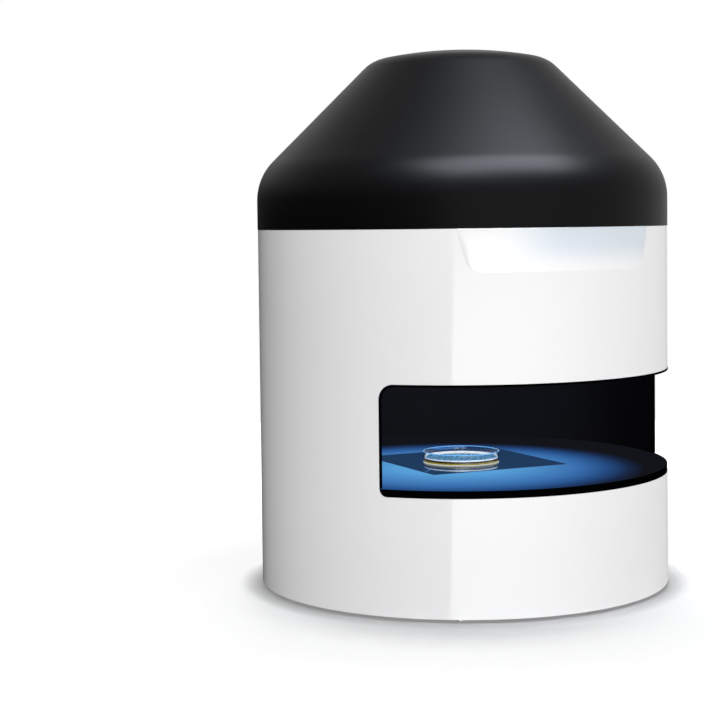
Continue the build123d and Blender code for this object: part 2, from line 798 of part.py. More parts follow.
# --- Base plate, its screws, the pillars under the stage and the feet ---------------------------------
with BuildPart() as base_plate:
    with BuildSketch(Plane.XY.offset(base_bottom)):
        Circle(fixed_radius)
        for side in (-1, 1):
            with Locations((0, side * vent_row_offset)):
                with GridLocations(vent_slot_pitch, 0, vent_slot_count, 1):
                    SlotOverall(vent_slot_length, vent_slot_width, rotation=90, mode=Mode.SUBTRACT)
    extrude(amount=base_thickness)
    with BuildSketch(*around(base_flange_circle, base_screw_count, base_bottom, seat_turn)):
        Circle(base_screw_radius)
    extrude(amount=base_thickness, mode=Mode.SUBTRACT)
    with BuildSketch(*around(pillar_circle, pillar_count, base_bottom, seat_turn)):
        Circle(pillar_screw_radius)
    extrude(amount=base_thickness, mode=Mode.SUBTRACT)
    with BuildSketch(*panel_screw_seats):
        Circle(panel_screw_radius)
    extrude(amount=-panel_wall - base_thickness, mode=Mode.SUBTRACT)
save(base_plate, "base_plate")

base_screws = screw_set(
    around(base_flange_circle, base_screw_count, shell_lift, seat_turn, down=True),
    base_screw_radius,
    shell_wall + base_thickness,
)
save(base_screws, "base_screws")

with BuildPart() as stage_pillars:
    with BuildSketch(*around(pillar_circle, pillar_count, base_top, seat_turn)):
        Circle(pillar_radius)
        Circle(pillar_screw_radius, mode=Mode.SUBTRACT)
    extrude(amount=window_sill - base_top)
save(stage_pillars, "stage_pillars")

pillar_screws = screw_set(
    around(pillar_circle, pillar_count, base_bottom, seat_turn, down=True),
    pillar_screw_radius,
    pillar_screw_length,
)
save(pillar_screws, "pillar_screws")

with BuildPart() as rubber_feet:
    with BuildSketch(*around(foot_circle, foot_count, 0, foot_turn)):
        Circle(foot_radius)
    extrude(amount=base_bottom)
    chamfer(rubber_feet.edges().group_by(Axis.Z)[0], foot_chamfer)
    with BuildSketch(*around(foot_circle, foot_count, 0, foot_turn)):
        Circle(foot_recess_radius)
    extrude(amount=foot_recess_depth, mode=Mode.SUBTRACT)
save(rubber_feet, "rubber_feet")

# --- Service panel: folded tray let into the back of the drum, with a foot that is screwed to the base plate ---
panel_mid = (panel_low + panel_high) / 2
panel_span = panel_high - panel_low
with BuildPart() as rear_panel:
    with BuildSketch(rear_plane(panel_back, panel_mid)):
        Rectangle(panel_width, panel_span)
    extrude(amount=drum_radius - panel_back)
    with BuildSketch(rear_plane(panel_face, panel_mid)):
        Rectangle(panel_width - 2 * panel_wall, panel_span - 2 * panel_wall)
    extrude(amount=drum_radius - panel_face, mode=Mode.SUBTRACT)
    with BuildSketch(Plane.XY):
        Circle(drum_radius - seat_gap)
    extrude(amount=panel_high, mode=Mode.INTERSECT)
    with BuildSketch(rear_plane(panel_back, (base_top + panel_low) / 2)):
        Rectangle(panel_foot_width, panel_low - base_top)
    extrude(amount=panel_wall)
    with BuildSketch(Plane.XY.offset(base_top)):
        with Locations((0, panel_face - panel_foot_depth / 2)):
            Rectangle(panel_foot_width, panel_foot_depth)
    extrude(amount=panel_wall)
    with BuildSketch(rear_plane(panel_back, panel_mid_height)):
        with Locations((-fan_x, 0)):
            Circle(fan_bore_radius)
            with GridLocations(fan_hole_pitch, fan_hole_pitch, 2, 2):
                Circle(fan_screw_radius)
        with Locations((-inlet_x, 0)):
            Rectangle(inlet_body_width + 2 * socket_gap, inlet_body_height + 2 * socket_gap)
        with Locations((-socket_x, 0)):
            with GridLocations(0, socket_pitch, 1, 2):
                Rectangle(socket_width + 2 * socket_gap, socket_height + 2 * socket_gap)
    extrude(amount=panel_wall, mode=Mode.SUBTRACT)
    with BuildSketch(*panel_screw_seats):
        Circle(panel_screw_radius)
    extrude(amount=-panel_wall, mode=Mode.SUBTRACT)
save(rear_panel, "rear_panel")

panel_screws = screw_set(panel_screw_seats, panel_screw_radius, panel_wall + base_thickness)
save(panel_screws, "panel_screws")

# --- Fan: moulded frame with a motor cup on four struts and a shaft, a bladed rotor, and a stamped guard outside ---
fan_front = panel_back - fan_depth
with BuildPart() as fan_frame:
    with BuildSketch(rear_plane(fan_front)):
        with Locations((-fan_x, 0)):
            RectangleRounded(fan_side, fan_side, fan_corner)
            Circle(fan_bore_radius, mode=Mode.SUBTRACT)
            with GridLocations(fan_hole_pitch, fan_hole_pitch, 2, 2):
                Circle(fan_screw_radius, mode=Mode.SUBTRACT)
    extrude(amount=fan_depth)
    with BuildSketch(rear_plane(fan_front)):
        with Locations((-fan_x, 0)):
            Circle(fan_hub_radius)
            Rectangle(2 * fan_bore_radius + fan_strut_width / 2, fan_strut_width)
            Rectangle(fan_strut_width, 2 * fan_bore_radius + fan_strut_width / 2)
    extrude(amount=fan_cup_depth)
    with BuildSketch(rear_plane(fan_front)):
        with Locations((-fan_x, 0)):
            Circle(fan_shaft_radius)
    extrude(amount=fan_depth - end_gap)
save(fan_frame, "fan_frame")

fan_blade_height = fan_depth - fan_cup_depth - end_gap - rotor_setback
with BuildPart() as fan_blade:
    # The blade stands out along X; its chord turns flatter from the root to the tip.
    with BuildSketch(Plane.YZ.offset(fan_hub_radius - fan_blade_thickness)):
        Rectangle(fan_root_chord, fan_blade_thickness, rotation=fan_root_pitch)
    with BuildSketch(Plane.YZ.offset(fan_bore_radius - fan_tip_gap)):
        Rectangle(fan_tip_chord, fan_blade_thickness, rotation=fan_tip_pitch)
    loft()
    with BuildSketch(Plane.XY.offset(-fan_depth)):
        Circle(fan_bore_radius - fan_tip_gap)
    extrude(amount=2 * fan_depth, mode=Mode.INTERSECT)

rotor_seat = rear_plane(fan_front + fan_cup_depth + end_gap)
with BuildPart() as fan_rotor:
    with BuildSketch(rotor_seat):
        with Locations((-fan_x, 0)):
            Circle(fan_hub_radius)
    extrude(amount=fan_blade_height)
    fillet(fan_rotor.edges().group_by(Axis.Y)[-1], fan_blade_thickness)
    with Locations(rotor_seat):
        with Locations((-fan_x, 0, fan_blade_height / 2)):
            with PolarLocations(0, fan_blade_count):
                add(fan_blade.part)
    with BuildSketch(rotor_seat):
        with Locations((-fan_x, 0)):
            Circle(fan_shaft_radius + running_gap)
    extrude(amount=fan_blade_height, mode=Mode.SUBTRACT)
save(fan_rotor, "fan_rotor")

with BuildPart() as fan_guard:
    with BuildSketch(rear_plane(panel_face)):
        with Locations((-fan_x, 0)):
            RectangleRounded(fan_side, fan_side, fan_corner)
            Circle(guard_radius - guard_wire, mode=Mode.SUBTRACT)
            for ring in range(guard_ring_count):
                Circle(guard_radius - guard_wire - ring * guard_ring_pitch)
                Circle(guard_radius - 2 * guard_wire - ring * guard_ring_pitch, mode=Mode.SUBTRACT)
            Rectangle(2 * guard_radius - guard_wire, guard_wire, rotation=45)
            Rectangle(2 * guard_radius - guard_wire, guard_wire, rotation=-45)
            with GridLocations(fan_hole_pitch, fan_hole_pitch, 2, 2):
                Circle(fan_screw_radius + guard_wire)
                Circle(fan_screw_radius, mode=Mode.SUBTRACT)
    extrude(amount=guard_thickness)
save(fan_guard, "fan_guard")

fan_screws = screw_set(fan_screw_seats, fan_screw_radius, guard_thickness + panel_wall + fan_depth / 2)
save(fan_screws, "fan_screws")

# --- Power entry: moulded body with the inlet's mouth, the fuse drawer's slot and the rocker's well ---
with BuildPart() as power_inlet:
    with BuildSketch(rear_plane(panel_face - inlet_body_depth)):
        with Locations((-inlet_x, 0)):
            Rectangle(inlet_body_width, inlet_body_height)
    extrude(amount=inlet_body_depth)
    with BuildSketch(rear_plane(panel_face)):
        with Locations((-inlet_x, 0)):
            RectangleRounded(inlet_flange_width, inlet_flange_height, inlet_corner)
    extrude(amount=inlet_flange_thickness)
    with BuildSketch(rear_plane(inlet_face)):
        with Locations((-inlet_x, -inlet_mouth_drop)):
            mouth = Rectangle(inlet_mouth_width, inlet_mouth_height)
            chamfer(mouth.vertices().group_by(Axis.Y)[-1], inlet_mouth_chamfer)
    extrude(amount=-inlet_mouth_depth, mode=Mode.SUBTRACT)
    with BuildSketch(rear_plane(inlet_face)):
        with Locations((-inlet_x, fuse_rise)):
            Rectangle(fuse_width + 2 * slide_gap, fuse_height + 2 * slide_gap)
    extrude(amount=-fuse_length - slide_gap, mode=Mode.SUBTRACT)
    with BuildSketch(rear_plane(inlet_face)):
        with Locations((-inlet_x, rocker_rise)):
            Rectangle(rocker_length + 2 * rocker_side_gap, rocker_height + 2 * slide_gap)
    extrude(amount=-rocker_well_depth, mode=Mode.SUBTRACT)
    with BuildSketch(Plane.XY.offset(rocker_mid_height)):
        with Locations((inlet_x, rocker_pivot_y)):
            Circle(rocker_pivot_radius + running_gap)
    extrude(amount=rocker_height / 2 + rocker_pivot_length + slide_gap, both=True, mode=Mode.SUBTRACT)
save(power_inlet, "power_inlet")

with BuildPart() as inlet_pins:
    with BuildSketch(rear_plane(inlet_face - inlet_mouth_depth, panel_mid_height - inlet_mouth_drop)):
        with Locations((-inlet_x, -earth_pin_rise / 2)):
            with GridLocations(pin_spacing, 0, 2, 1):
                Rectangle(pin_width, pin_height)
        with Locations((-inlet_x, earth_pin_rise / 2)):
            Rectangle(pin_width, pin_height)
    extrude(amount=pin_length)
save(inlet_pins, "inlet_pins")

with BuildPart() as fuse_drawer:
    with BuildSketch(rear_plane(inlet_face - fuse_length)):
        with Locations((-inlet_x, fuse_rise)):
            Rectangle(fuse_width, fuse_height)
    extrude(amount=fuse_length + fuse_proud)
    # A notch in the middle of the front's upper edge takes a fingernail.
    with BuildSketch(rear_plane(inlet_face + fuse_proud)):
        with Locations((-inlet_x, fuse_rise + fuse_height / 2)):
            Rectangle(fuse_notch_width, fuse_notch_height)
    extrude(amount=-fuse_proud, mode=Mode.SUBTRACT)
save(fuse_drawer, "fuse_drawer")

rocker_half = rocker_length / 2
with BuildPart() as power_rocker:
    with BuildSketch(Plane(origin=(inlet_x, rocker_pivot_y, rocker_mid_height)).rotated((0, 0, rocker_tilt))):
        with BuildLine():
            Polyline(
                (-rocker_half, rocker_sink + rocker_end_proud),
                (0, rocker_sink + rocker_end_proud - rocker_dish),
                (rocker_half, rocker_sink + rocker_end_proud),
                (rocker_half - rocker_draft, -rocker_depth),
                (rocker_draft - rocker_half, -rocker_depth),
                close=True,
            )
        make_face()
    extrude(amount=rocker_height / 2, both=True)
    with BuildSketch(Plane(origin=(inlet_x, rocker_pivot_y, rocker_mid_height))):
        Circle(rocker_pivot_radius)
    extrude(amount=rocker_height / 2 + rocker_pivot_length, both=True)
save(power_rocker, "power_rocker")

# --- Data sockets: two square metal shells with a tongue inside ---------------------------------------
with BuildPart() as data_sockets:
    with BuildSketch(rear_plane(panel_face + socket_proud)):
        with Locations((-socket_x, 0)):
            with GridLocations(0, socket_pitch, 1, 2):
                Rectangle(socket_width, socket_height)
    extrude(amount=-socket_depth)
    with BuildSketch(rear_plane(panel_face + socket_proud)):
        with Locations((-socket_x, 0)):
            with GridLocations(0, socket_pitch, 1, 2):
                Rectangle(socket_mouth_width, socket_mouth_height)
    extrude(amount=-socket_mouth_depth, mode=Mode.SUBTRACT)
    with BuildSketch(rear_plane(panel_face + socket_proud - socket_mouth_depth)):
        with Locations((-socket_x, 0)):
            with GridLocations(0, socket_pitch, 1, 2):
                Rectangle(socket_tongue_width, socket_tongue_height)
    extrude(amount=socket_tongue_length)
save(data_sockets, "data_sockets")

# --- Control board on standoffs, at the right of the base ---------------------------------------------
board_bottom = base_top + standoff_height
board_top = board_bottom + board_thickness
with BuildPart() as board_standoffs:
    with BuildSketch(Plane.XY.offset(base_top)):
        with Locations((board_x, 0)):
            with GridLocations(board_width - 2 * board_margin, board_length - 2 * board_margin, 2, 2):
                RegularPolygon(standoff_radius, 6)
    extrude(amount=standoff_height)
save(board_standoffs, "board_standoffs")

with BuildPart() as control_board:
    with BuildSketch(Plane.XY.offset(board_bottom)):
        with Locations((board_x, 0)):
            Rectangle(board_width, board_length)
    extrude(amount=board_thickness)
save(control_board, "control_board")

with BuildPart() as board_components:
    # Chips, then a row of connectors, then a finned heat sink with capacitors beside it.
    with BuildSketch(Plane.XY.offset(board_top)):
        with Locations((board_x, -chip_setback)):
            with GridLocations(chip_pitch_across, chip_pitch_along, 2, 2):
                Rectangle(chip_side, chip_side)
    extrude(amount=chip_height)
    with BuildSketch(Plane.XY.offset(board_top)):
        with Locations((board_x, -board_length / 2 + connector_depth)):
            with GridLocations(connector_pitch, 0, 3, 1):
                Rectangle(connector_width, connector_depth)
    extrude(amount=connector_height)
    with BuildSketch(Plane.XY.offset(board_top)):
        with Locations((board_x - sink_offset, sink_setback)):
            Rectangle(sink_side, sink_side)
    extrude(amount=sink_base)
    with BuildSketch(Plane.XY.offset(board_top + sink_base)):
        with Locations((board_x - sink_offset, sink_setback)):
            with GridLocations(sink_pitch, 0, sink_fins, 1):
                Rectangle(sink_fin, sink_side)
    extrude(amount=sink_height - sink_base)
    with BuildSketch(Plane.XY.offset(board_top)):
        with Locations((board_x + capacitor_offset, sink_setback)):
            with GridLocations(0, capacitor_pitch, 1, capacitor_count):
                Circle(capacitor_radius)
    extrude(amount=capacitor_height)
save(board_components, "board_components")

# --- Power supply: boxed unit at the left of the base, with a terminal block at its rear end ----------
with BuildPart() as power_supply:
    with BuildSketch(Plane.XY.offset(base_top)):
        with Locations((supply_x, 0)):
            Rectangle(supply_width, supply_length)
    extrude(amount=supply_height)
    chamfer(power_supply.edges().filter_by(Axis.Y).group_by(Axis.Z)[-1], supply_edge)
    with BuildSketch(Plane.XY.offset(base_top + supply_height)):
        with Locations((supply_x, 0)):
            with GridLocations(0, supply_vent_pitch, 1, supply_vent_count):
                SlotOverall(supply_vent_length, supply_vent_width)
    extrude(amount=-supply_vent_depth, mode=Mode.SUBTRACT)
save(power_supply, "power_supply")

with BuildPart() as supply_terminals:
    with BuildSketch(Plane.XY.offset(base_top)):
        with Locations((supply_x, supply_length / 2 + terminal_width / 2)):
            Rectangle(terminal_length, terminal_width)
    extrude(amount=terminal_height)
    with BuildSketch(Plane.XY.offset(base_top + terminal_height)):
        with Locations((supply_x, supply_length / 2 + terminal_width / 2)):
            with GridLocations(terminal_length / terminal_pole_count, 0, terminal_pole_count, 1):
                Rectangle(terminal_length / terminal_pole_count - terminal_rib, terminal_width)
    extrude(amount=-terminal_notch, mode=Mode.SUBTRACT)
save(supply_terminals, "supply_terminals")

# --- Camera stand: folded channel on the deck, and the arm that the camera hangs from -----------------
mast_inside = mast_width - 2 * mast_wall
with BuildPart() as camera_mast:
    with BuildSketch(Plane.XY.offset(deck_top)):
        with Locations((0, mast_y)):
            Rectangle(mast_width, mast_flange, align=(Align.CENTER, Align.MIN))
        with Locations((0, mast_y + mast_wall)):
            Rectangle(mast_inside, mast_flange, align=(Align.CENTER, Align.MIN), mode=Mode.SUBTRACT)
    extrude(amount=mast_height)
    with BuildSketch(Plane.XY.offset(deck_top)):
        with Locations((0, mast_y)):
            Rectangle(mast_width, mast_wall + mast_foot_depth, align=(Align.CENTER, Align.MIN))
    extrude(amount=mast_wall)
    # The side flanges taper to the web at the top, to clear the cap.
    with BuildSketch(Plane.YZ):
        with BuildLine():
            Polyline(
                (mast_y + mast_flange + beyond, deck_top + mast_height - mast_taper),
                (mast_y + mast_flange + beyond, deck_top + mast_height),
                (mast_y + mast_wall, deck_top + mast_height),
                close=True,
            )
        make_face()
    extrude(amount=mast_width, both=True, mode=Mode.SUBTRACT)
    with BuildSketch(*mast_screw_seats):
        Circle(mast_screw_radius)
    extrude(amount=-mast_wall, mode=Mode.SUBTRACT)
    with BuildSketch(*arm_screw_seats):
        Circle(mast_screw_radius)
    extrude(amount=-arm_wall - mast_wall, mode=Mode.SUBTRACT)
save(camera_mast, "camera_mast")

mast_screws = screw_set(mast_screw_seats, mast_screw_radius, mast_wall + deck_thickness)
save(mast_screws, "mast_screws")

arm_reach = mast_y - glass_centre_y + camera_side / 2
with BuildPart() as camera_arm:
    with BuildSketch(Plane.YZ):
        with BuildLine():
            Polyline(
                (mast_y, camera_top_height),
                (mast_y, camera_top_height + arm_plate_height),
                (mast_y - arm_wall, camera_top_height + arm_plate_height),
                (mast_y - arm_wall, camera_top_height + arm_wall + arm_gusset_height),
                (mast_y - arm_wall - arm_gusset_height, camera_top_height + arm_wall),
                (mast_y - arm_reach, camera_top_height + arm_wall),
                (mast_y - arm_reach, camera_top_height),
                close=True,
            )
        make_face()
    extrude(amount=arm_plate_width / 2, both=True)
    # The gusset is cast as two side webs, open in the middle.
    with BuildSketch(Plane.XY.offset(camera_top_height + arm_wall)):
        with Locations((0, mast_y - arm_wall)):
            Rectangle(arm_plate_width - 2 * arm_wall, arm_gusset_height, align=(Align.CENTER, Align.MAX))
    extrude(amount=arm_gusset_height, mode=Mode.SUBTRACT)
    with BuildSketch(*arm_screw_seats):
        Circle(mast_screw_radius)
    extrude(amount=-arm_wall, mode=Mode.SUBTRACT)
save(camera_arm, "camera_arm")

arm_screws = screw_set(arm_screw_seats, mast_screw_radius, arm_wall + mast_wall)
save(arm_screws, "arm_screws")

camera_bottom = camera_top_height - camera_height
camera_core = camera_side - 2 * camera_fin_depth
with BuildPart() as camera_body:
    with BuildSketch(Plane.XY.offset(camera_bottom)):
        with Locations((0, glass_centre_y)):
            RectangleRounded(camera_side, camera_side, camera_corner)
    extrude(amount=camera_height)
    for fin in range(camera_fin_count):
        with BuildSketch(Plane.XY.offset(camera_bottom + camera_fin_pitch * (fin + 1))):
            with Locations((0, glass_centre_y)):
                Rectangle(camera_side, camera_side)
                Rectangle(camera_core, camera_core, mode=Mode.SUBTRACT)
        extrude(amount=camera_fin_slot, mode=Mode.SUBTRACT)
save(camera_body, "camera_body")

with BuildPart() as lens_mount:
    with BuildSketch(Plane.XY.offset(camera_bottom - mount_ring_height)):
        with Locations((0, glass_centre_y)):
            Circle(mount_ring_radius)
    extrude(amount=mount_ring_height)
save(lens_mount, "lens_mount")

# --- Lens: barrel with two necks that the iris ring and the focus ring turn on ------------------------
lens_top = camera_bottom - mount_ring_height
iris_top = lens_top - lens_rear_height
iris_bottom = iris_top - iris_ring_height - 2 * ring_play
focus_top = iris_bottom - lens_waist_height
focus_bottom = focus_top - focus_ring_height - 2 * ring_play
lens_bottom = focus_bottom - lens_nose_height
optic_axis = Plane(origin=(0, glass_centre_y, 0), x_dir=(1, 0, 0), z_dir=(0, -1, 0))
with BuildPart() as lens_barrel:
    with BuildSketch(optic_axis):
        with BuildLine():
            Polyline(
                (0, lens_top),
                (lens_rear_radius, lens_top),
                (lens_rear_radius, iris_top),
                (iris_core_radius, iris_top),
                (iris_core_radius, iris_bottom),
                (lens_waist_radius, iris_bottom),
                (lens_waist_radius, focus_top),
                (focus_core_radius, focus_top),
                (focus_core_radius, focus_bottom),
                (lens_nose_radius, focus_bottom),
                (lens_nose_radius, lens_bottom),
                (lens_bore_radius, lens_bottom),
                (lens_bore_radius - front_lens_edge, lens_bottom + lens_bore_depth),
                (0, lens_bottom + lens_bore_depth),
                close=True,
            )
        make_face()
    revolve(axis=Axis((0, glass_centre_y, 0), (0, 0, 1)))
save(lens_barrel, "lens_barrel")

with BuildPart() as front_lens:
    with BuildSketch(optic_axis):
        glass_edge = lens_bottom + lens_bore_depth - front_lens_edge
        edge_radius = lens_bore_radius - front_lens_edge - front_lens_gap
        bulge_radius = (edge_radius**2 + front_lens_bulge**2) / (2 * front_lens_bulge)
        with BuildLine():
            back = Line((0, lens_bottom + lens_bore_depth), (edge_radius, lens_bottom + lens_bore_depth))
            rim = Line(back @ 1, (edge_radius, glass_edge))
            front = RadiusArc(rim @ 1, (0, glass_edge - front_lens_bulge), bulge_radius)
            Line(front @ 1, back @ 0)
        make_face()
    revolve(axis=Axis((0, glass_centre_y, 0), (0, 0, 1)))
save(front_lens, "front_lens")


def lens_ring(core_radius, outer_radius, bottom, height, lock_angle):
    """Grip ring that turns on a neck of the barrel, with a tapped hole for its lock screw."""
    with BuildPart() as ring:
        with BuildSketch(Plane.XY.offset(bottom)):
            with Locations((0, glass_centre_y)):
                Circle(outer_radius)
                Circle(core_radius + running_gap, mode=Mode.SUBTRACT)
                with PolarLocations(outer_radius, grip_count, lock_angle + 180 / grip_count):
                    Rectangle(2 * grip_depth, grip_width, mode=Mode.SUBTRACT)
        extrude(amount=height)
        with BuildSketch(lock_plane(lock_angle, core_radius, bottom + height / 2)):
            Circle(lock_shank_radius + lock_shank_gap)
        extrude(amount=outer_radius, mode=Mode.SUBTRACT)
    return ring


def lock_plane(angle, radius, height):
    """Plane that faces outwards from the lens at an angle counted from +X."""
    out = Vector(cos(radians(angle)), sin(radians(angle)), 0)
    return Plane(origin=Vector(0, glass_centre_y, height) + out * radius, z_dir=out)


def lock_screw(core_radius, outer_radius, height, angle):
    """Knurled thumb screw that stands out of a lens ring."""
    with BuildPart() as screw:
        with BuildSketch(lock_plane(angle, core_radius + slide_gap, height)):
            Circle(lock_shank_radius)
        extrude(amount=outer_radius - core_radius + lock_knob_length / 2)
        with BuildSketch(lock_plane(angle, outer_radius + slide_gap, height)):
            Circle(lock_knob_radius)
        extrude(amount=lock_knob_length)
    return screw


iris_ring = lens_ring(
    iris_core_radius, iris_ring_radius, iris_bottom + ring_play, iris_ring_height, iris_lock_angle
)
save(iris_ring, "iris_ring")
iris_lock_screw = lock_screw(
    iris_core_radius, iris_ring_radius, iris_bottom + ring_play + iris_ring_height / 2, iris_lock_angle
)
save(iris_lock_screw, "iris_lock_screw")
focus_ring = lens_ring(
    focus_core_radius, focus_ring_radius, focus_bottom + ring_play, focus_ring_height, focus_lock_angle
)
save(focus_ring, "focus_ring")
focus_lock_screw = lock_screw(
    focus_core_radius, focus_ring_radius, focus_bottom + ring_play + focus_ring_height / 2, focus_lock_angle
)
save(focus_lock_screw, "focus_lock_screw")

# --- Petri dish with its agar, lying on the stage glass -----------------------------------------------
dish_bottom = glass_top + dish_lift
dish_axis = Plane(origin=(dish_x, dish_y, 0), x_dir=(1, 0, 0), z_dir=(0, -1, 0))
with BuildPart() as petri_dish:
    with BuildSketch(dish_axis):
        with BuildLine():
            Polyline(
                (0, dish_bottom + dish_foot_ring),
                (dish_radius - 2 * dish_wall, dish_bottom + dish_foot_ring),
                (dish_radius - 2 * dish_wall, dish_bottom),
                (dish_radius, dish_bottom),
                (dish_radius, dish_bottom + dish_height),
                (dish_radius - dish_wall, dish_bottom + dish_height),
                (dish_radius - dish_wall, dish_bottom + dish_foot_ring + dish_floor),
                (0, dish_bottom + dish_foot_ring + dish_floor),
                close=True,
            )
        make_face()
    revolve(axis=Axis((dish_x, dish_y, 0), (0, 0, 1)))
save(petri_dish, "petri_dish")

with BuildPart() as agar_gel:
    with BuildSketch(Plane.XY.offset(dish_bottom + dish_foot_ring + dish_floor)):
        with Locations((dish_x, dish_y)):
            Circle(dish_radius - dish_wall - agar_gap)
    extrude(amount=agar_depth)
save(agar_gel, "agar_gel")
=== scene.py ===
import math

import bpy
from mathutils import Matrix, Vector


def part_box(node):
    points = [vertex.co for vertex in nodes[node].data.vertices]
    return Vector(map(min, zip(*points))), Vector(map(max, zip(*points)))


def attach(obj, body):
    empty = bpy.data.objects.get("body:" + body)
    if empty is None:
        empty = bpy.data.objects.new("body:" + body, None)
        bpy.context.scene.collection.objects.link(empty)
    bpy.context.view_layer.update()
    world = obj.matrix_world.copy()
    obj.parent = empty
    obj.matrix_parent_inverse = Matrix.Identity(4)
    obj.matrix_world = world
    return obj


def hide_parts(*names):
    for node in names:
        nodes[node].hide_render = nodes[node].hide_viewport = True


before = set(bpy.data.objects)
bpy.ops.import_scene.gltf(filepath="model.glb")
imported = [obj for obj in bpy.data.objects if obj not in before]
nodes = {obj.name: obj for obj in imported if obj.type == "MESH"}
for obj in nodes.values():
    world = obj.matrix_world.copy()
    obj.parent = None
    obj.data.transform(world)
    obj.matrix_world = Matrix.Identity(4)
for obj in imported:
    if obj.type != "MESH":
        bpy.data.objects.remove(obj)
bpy.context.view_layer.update()  # nodes of the imported colony counter

# --- Base plate, its screws and the pillars -------------------------------------------------------
# The round base plate is 3 mm steel with vent slots, zinc plated. Six turned aluminium pillars stand
# on it under the stage, and pan-head steel screws hold the drum's flange and the pillars from below.


class Wire:
    """A value on its way between the nodes of a finish, so that a finish is written as sums."""

    def __init__(self, finish, socket):
        self.finish = finish
        self.socket = socket

    def sum_of(self, operation, *values):
        inputs = {place: value for place, value in enumerate(values)}
        return self.finish.node("ShaderNodeMath", {"operation": operation}, inputs)

    def __add__(self, other):
        return self.sum_of("ADD", self, other)

    def __radd__(self, other):
        return self.sum_of("ADD", other, self)

    def __sub__(self, other):
        return self.sum_of("SUBTRACT", self, other)

    def __rsub__(self, other):
        return self.sum_of("SUBTRACT", other, self)

    def __mul__(self, other):
        return self.sum_of("MULTIPLY", self, other)

    def __rmul__(self, other):
        return self.sum_of("MULTIPLY", other, self)

    def __truediv__(self, other):
        return self.sum_of("DIVIDE", self, other)

    def __pow__(self, other):
        return self.sum_of("POWER", self, other)

    def over(self, other):
        return self.sum_of("GREATER_THAN", self, other)

    def under(self, other):
        return self.sum_of("LESS_THAN", self, other)

    def highest(self, other):
        return self.sum_of("MAXIMUM", self, other)

    def eased(self, low, high):
        """0 below low and 1 above high, with a soft step between them."""
        settings = {"interpolation_type": "SMOOTHSTEP"}
        inputs = {"Value": self, "From Min": low, "From Max": high}
        return self.finish.node("ShaderNodeMapRange", settings, inputs)


class Finish:
    """The surface of one of the machine's materials, as nodes that feed its shader."""

    def __init__(self, name, surface):
        self.material = bpy.data.materials.new(name)
        self.material.use_nodes = True
        self.tree = self.material.node_tree
        self.shader = self.tree.nodes["Principled BSDF"]
        self.place = self.node("ShaderNodeTexCoord", output="Object")
        self.set(surface)

    def node(self, kind, settings=None, inputs=None, output=0):
        made = self.tree.nodes.new(kind)
        for name, value in (settings or {}).items():
            setattr(made, name, value)
        for name, value in (inputs or {}).items():
            self.feed(made.inputs[name], value)
        return Wire(self, made.outputs[output])

    def feed(self, socket, value):
        if isinstance(value, Wire):
            self.tree.links.new(value.socket, socket)
        else:
            socket.default_value = value

    def set(self, surface):
        for name, value in surface.items():
            self.feed(self.shader.inputs[name], value)

    def grain(self, scale, detail=3.0, stretch=(1, 1, 1)):
        """Noise with so many waves to the metre, drawn out along an axis by a stretch under 1."""
        drawn = self.node("ShaderNodeMapping", {}, {"Vector": self.place, "Scale": stretch})
        return self.node("ShaderNodeTexNoise", {}, {"Vector": drawn, "Scale": scale, "Detail": detail})

    def blend(self, share, first, second):
        settings = {"data_type": "RGBA"}
        return self.node("ShaderNodeMix", settings, {0: share, 6: first, 7: second}, output=2)

    def tones(self, share, stops):
        """A colour picked by a share between 0 and 1 from a row of stops."""
        shade = self.node("ShaderNodeValToRGB", {}, {"Fac": share})
        ramp = shade.socket.node.color_ramp
        for stop in stops[1:-1]:
            ramp.elements.new(stop[0])
        for stop, (place, colour) in zip(ramp.elements, stops):
            stop.position = place
            stop.color = colour
        return shade

    def relief(self, height, depth, strength):
        """Bumps of so many metres, from a height between 0 and 1."""
        inputs = {"Height": height, "Distance": depth, "Strength": strength}
        self.set({"Normal": self.node("ShaderNodeBump", {}, inputs)})

    def axes(self):
        """The piece's own X, Y and Z as three values."""
        split = self.node("ShaderNodeSeparateXYZ", {}, {"Vector": self.place})
        return [Wire(self, split.socket.node.outputs[i]) for i in range(3)]

    def cover(self, *names):
        """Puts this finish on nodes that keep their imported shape."""
        for name in names:
            mesh = nodes[name].data
            if not mesh.materials:
                mesh.materials.append(self.material)
            for place in nodes[name].material_slots:
                place.material = self.material


def plated(name, light, dark, rough, stretch):
    """Bare or plated metal: slightly cloudy, with fine lines along the way that it was rolled."""
    finish = Finish(name, {"Metallic": 1.0})
    cloud = finish.grain(38.0)
    lines = finish.grain(420.0, 2.0, stretch)
    finish.set({
        "Base Color": finish.blend(cloud, (*dark, 1), (*light, 1)),
        "Roughness": rough + 0.14 * lines,
    })
    finish.relief(lines, 0.000012, 0.4)
    return finish


zinc = plated("zinc_steel", (0.66, 0.67, 0.68), (0.46, 0.47, 0.49), 0.28, (1, 0.06, 1))
screw_metal = plated("screw_steel", (0.58, 0.58, 0.57), (0.42, 0.42, 0.42), 0.22, (1, 1, 0.2))
turned_metal = plated("turned_aluminium", (0.78, 0.78, 0.79), (0.64, 0.65, 0.66), 0.24, (0.2, 0.2, 1))
zinc.cover("base_plate")
screw_metal.cover("base_screws", "pillar_screws")
turned_metal.cover("stage_pillars")

# --- Feet -----------------------------------------------------------------------------------------
# Four moulded rubber feet under the base plate, black and slightly grainy. Each is round with a
# recess underneath and a soft lower edge that grips the bench.


def arc(centre, radius, start, end, steps):
    """Points along an arc in a turned piece's outline; angles in degrees, 0 outwards and 90 up."""
    turns = [math.radians(start + (end - start) * step / steps) for step in range(steps + 1)]
    return [(centre[0] + radius * math.cos(turn), centre[1] + radius * math.sin(turn)) for turn in turns]


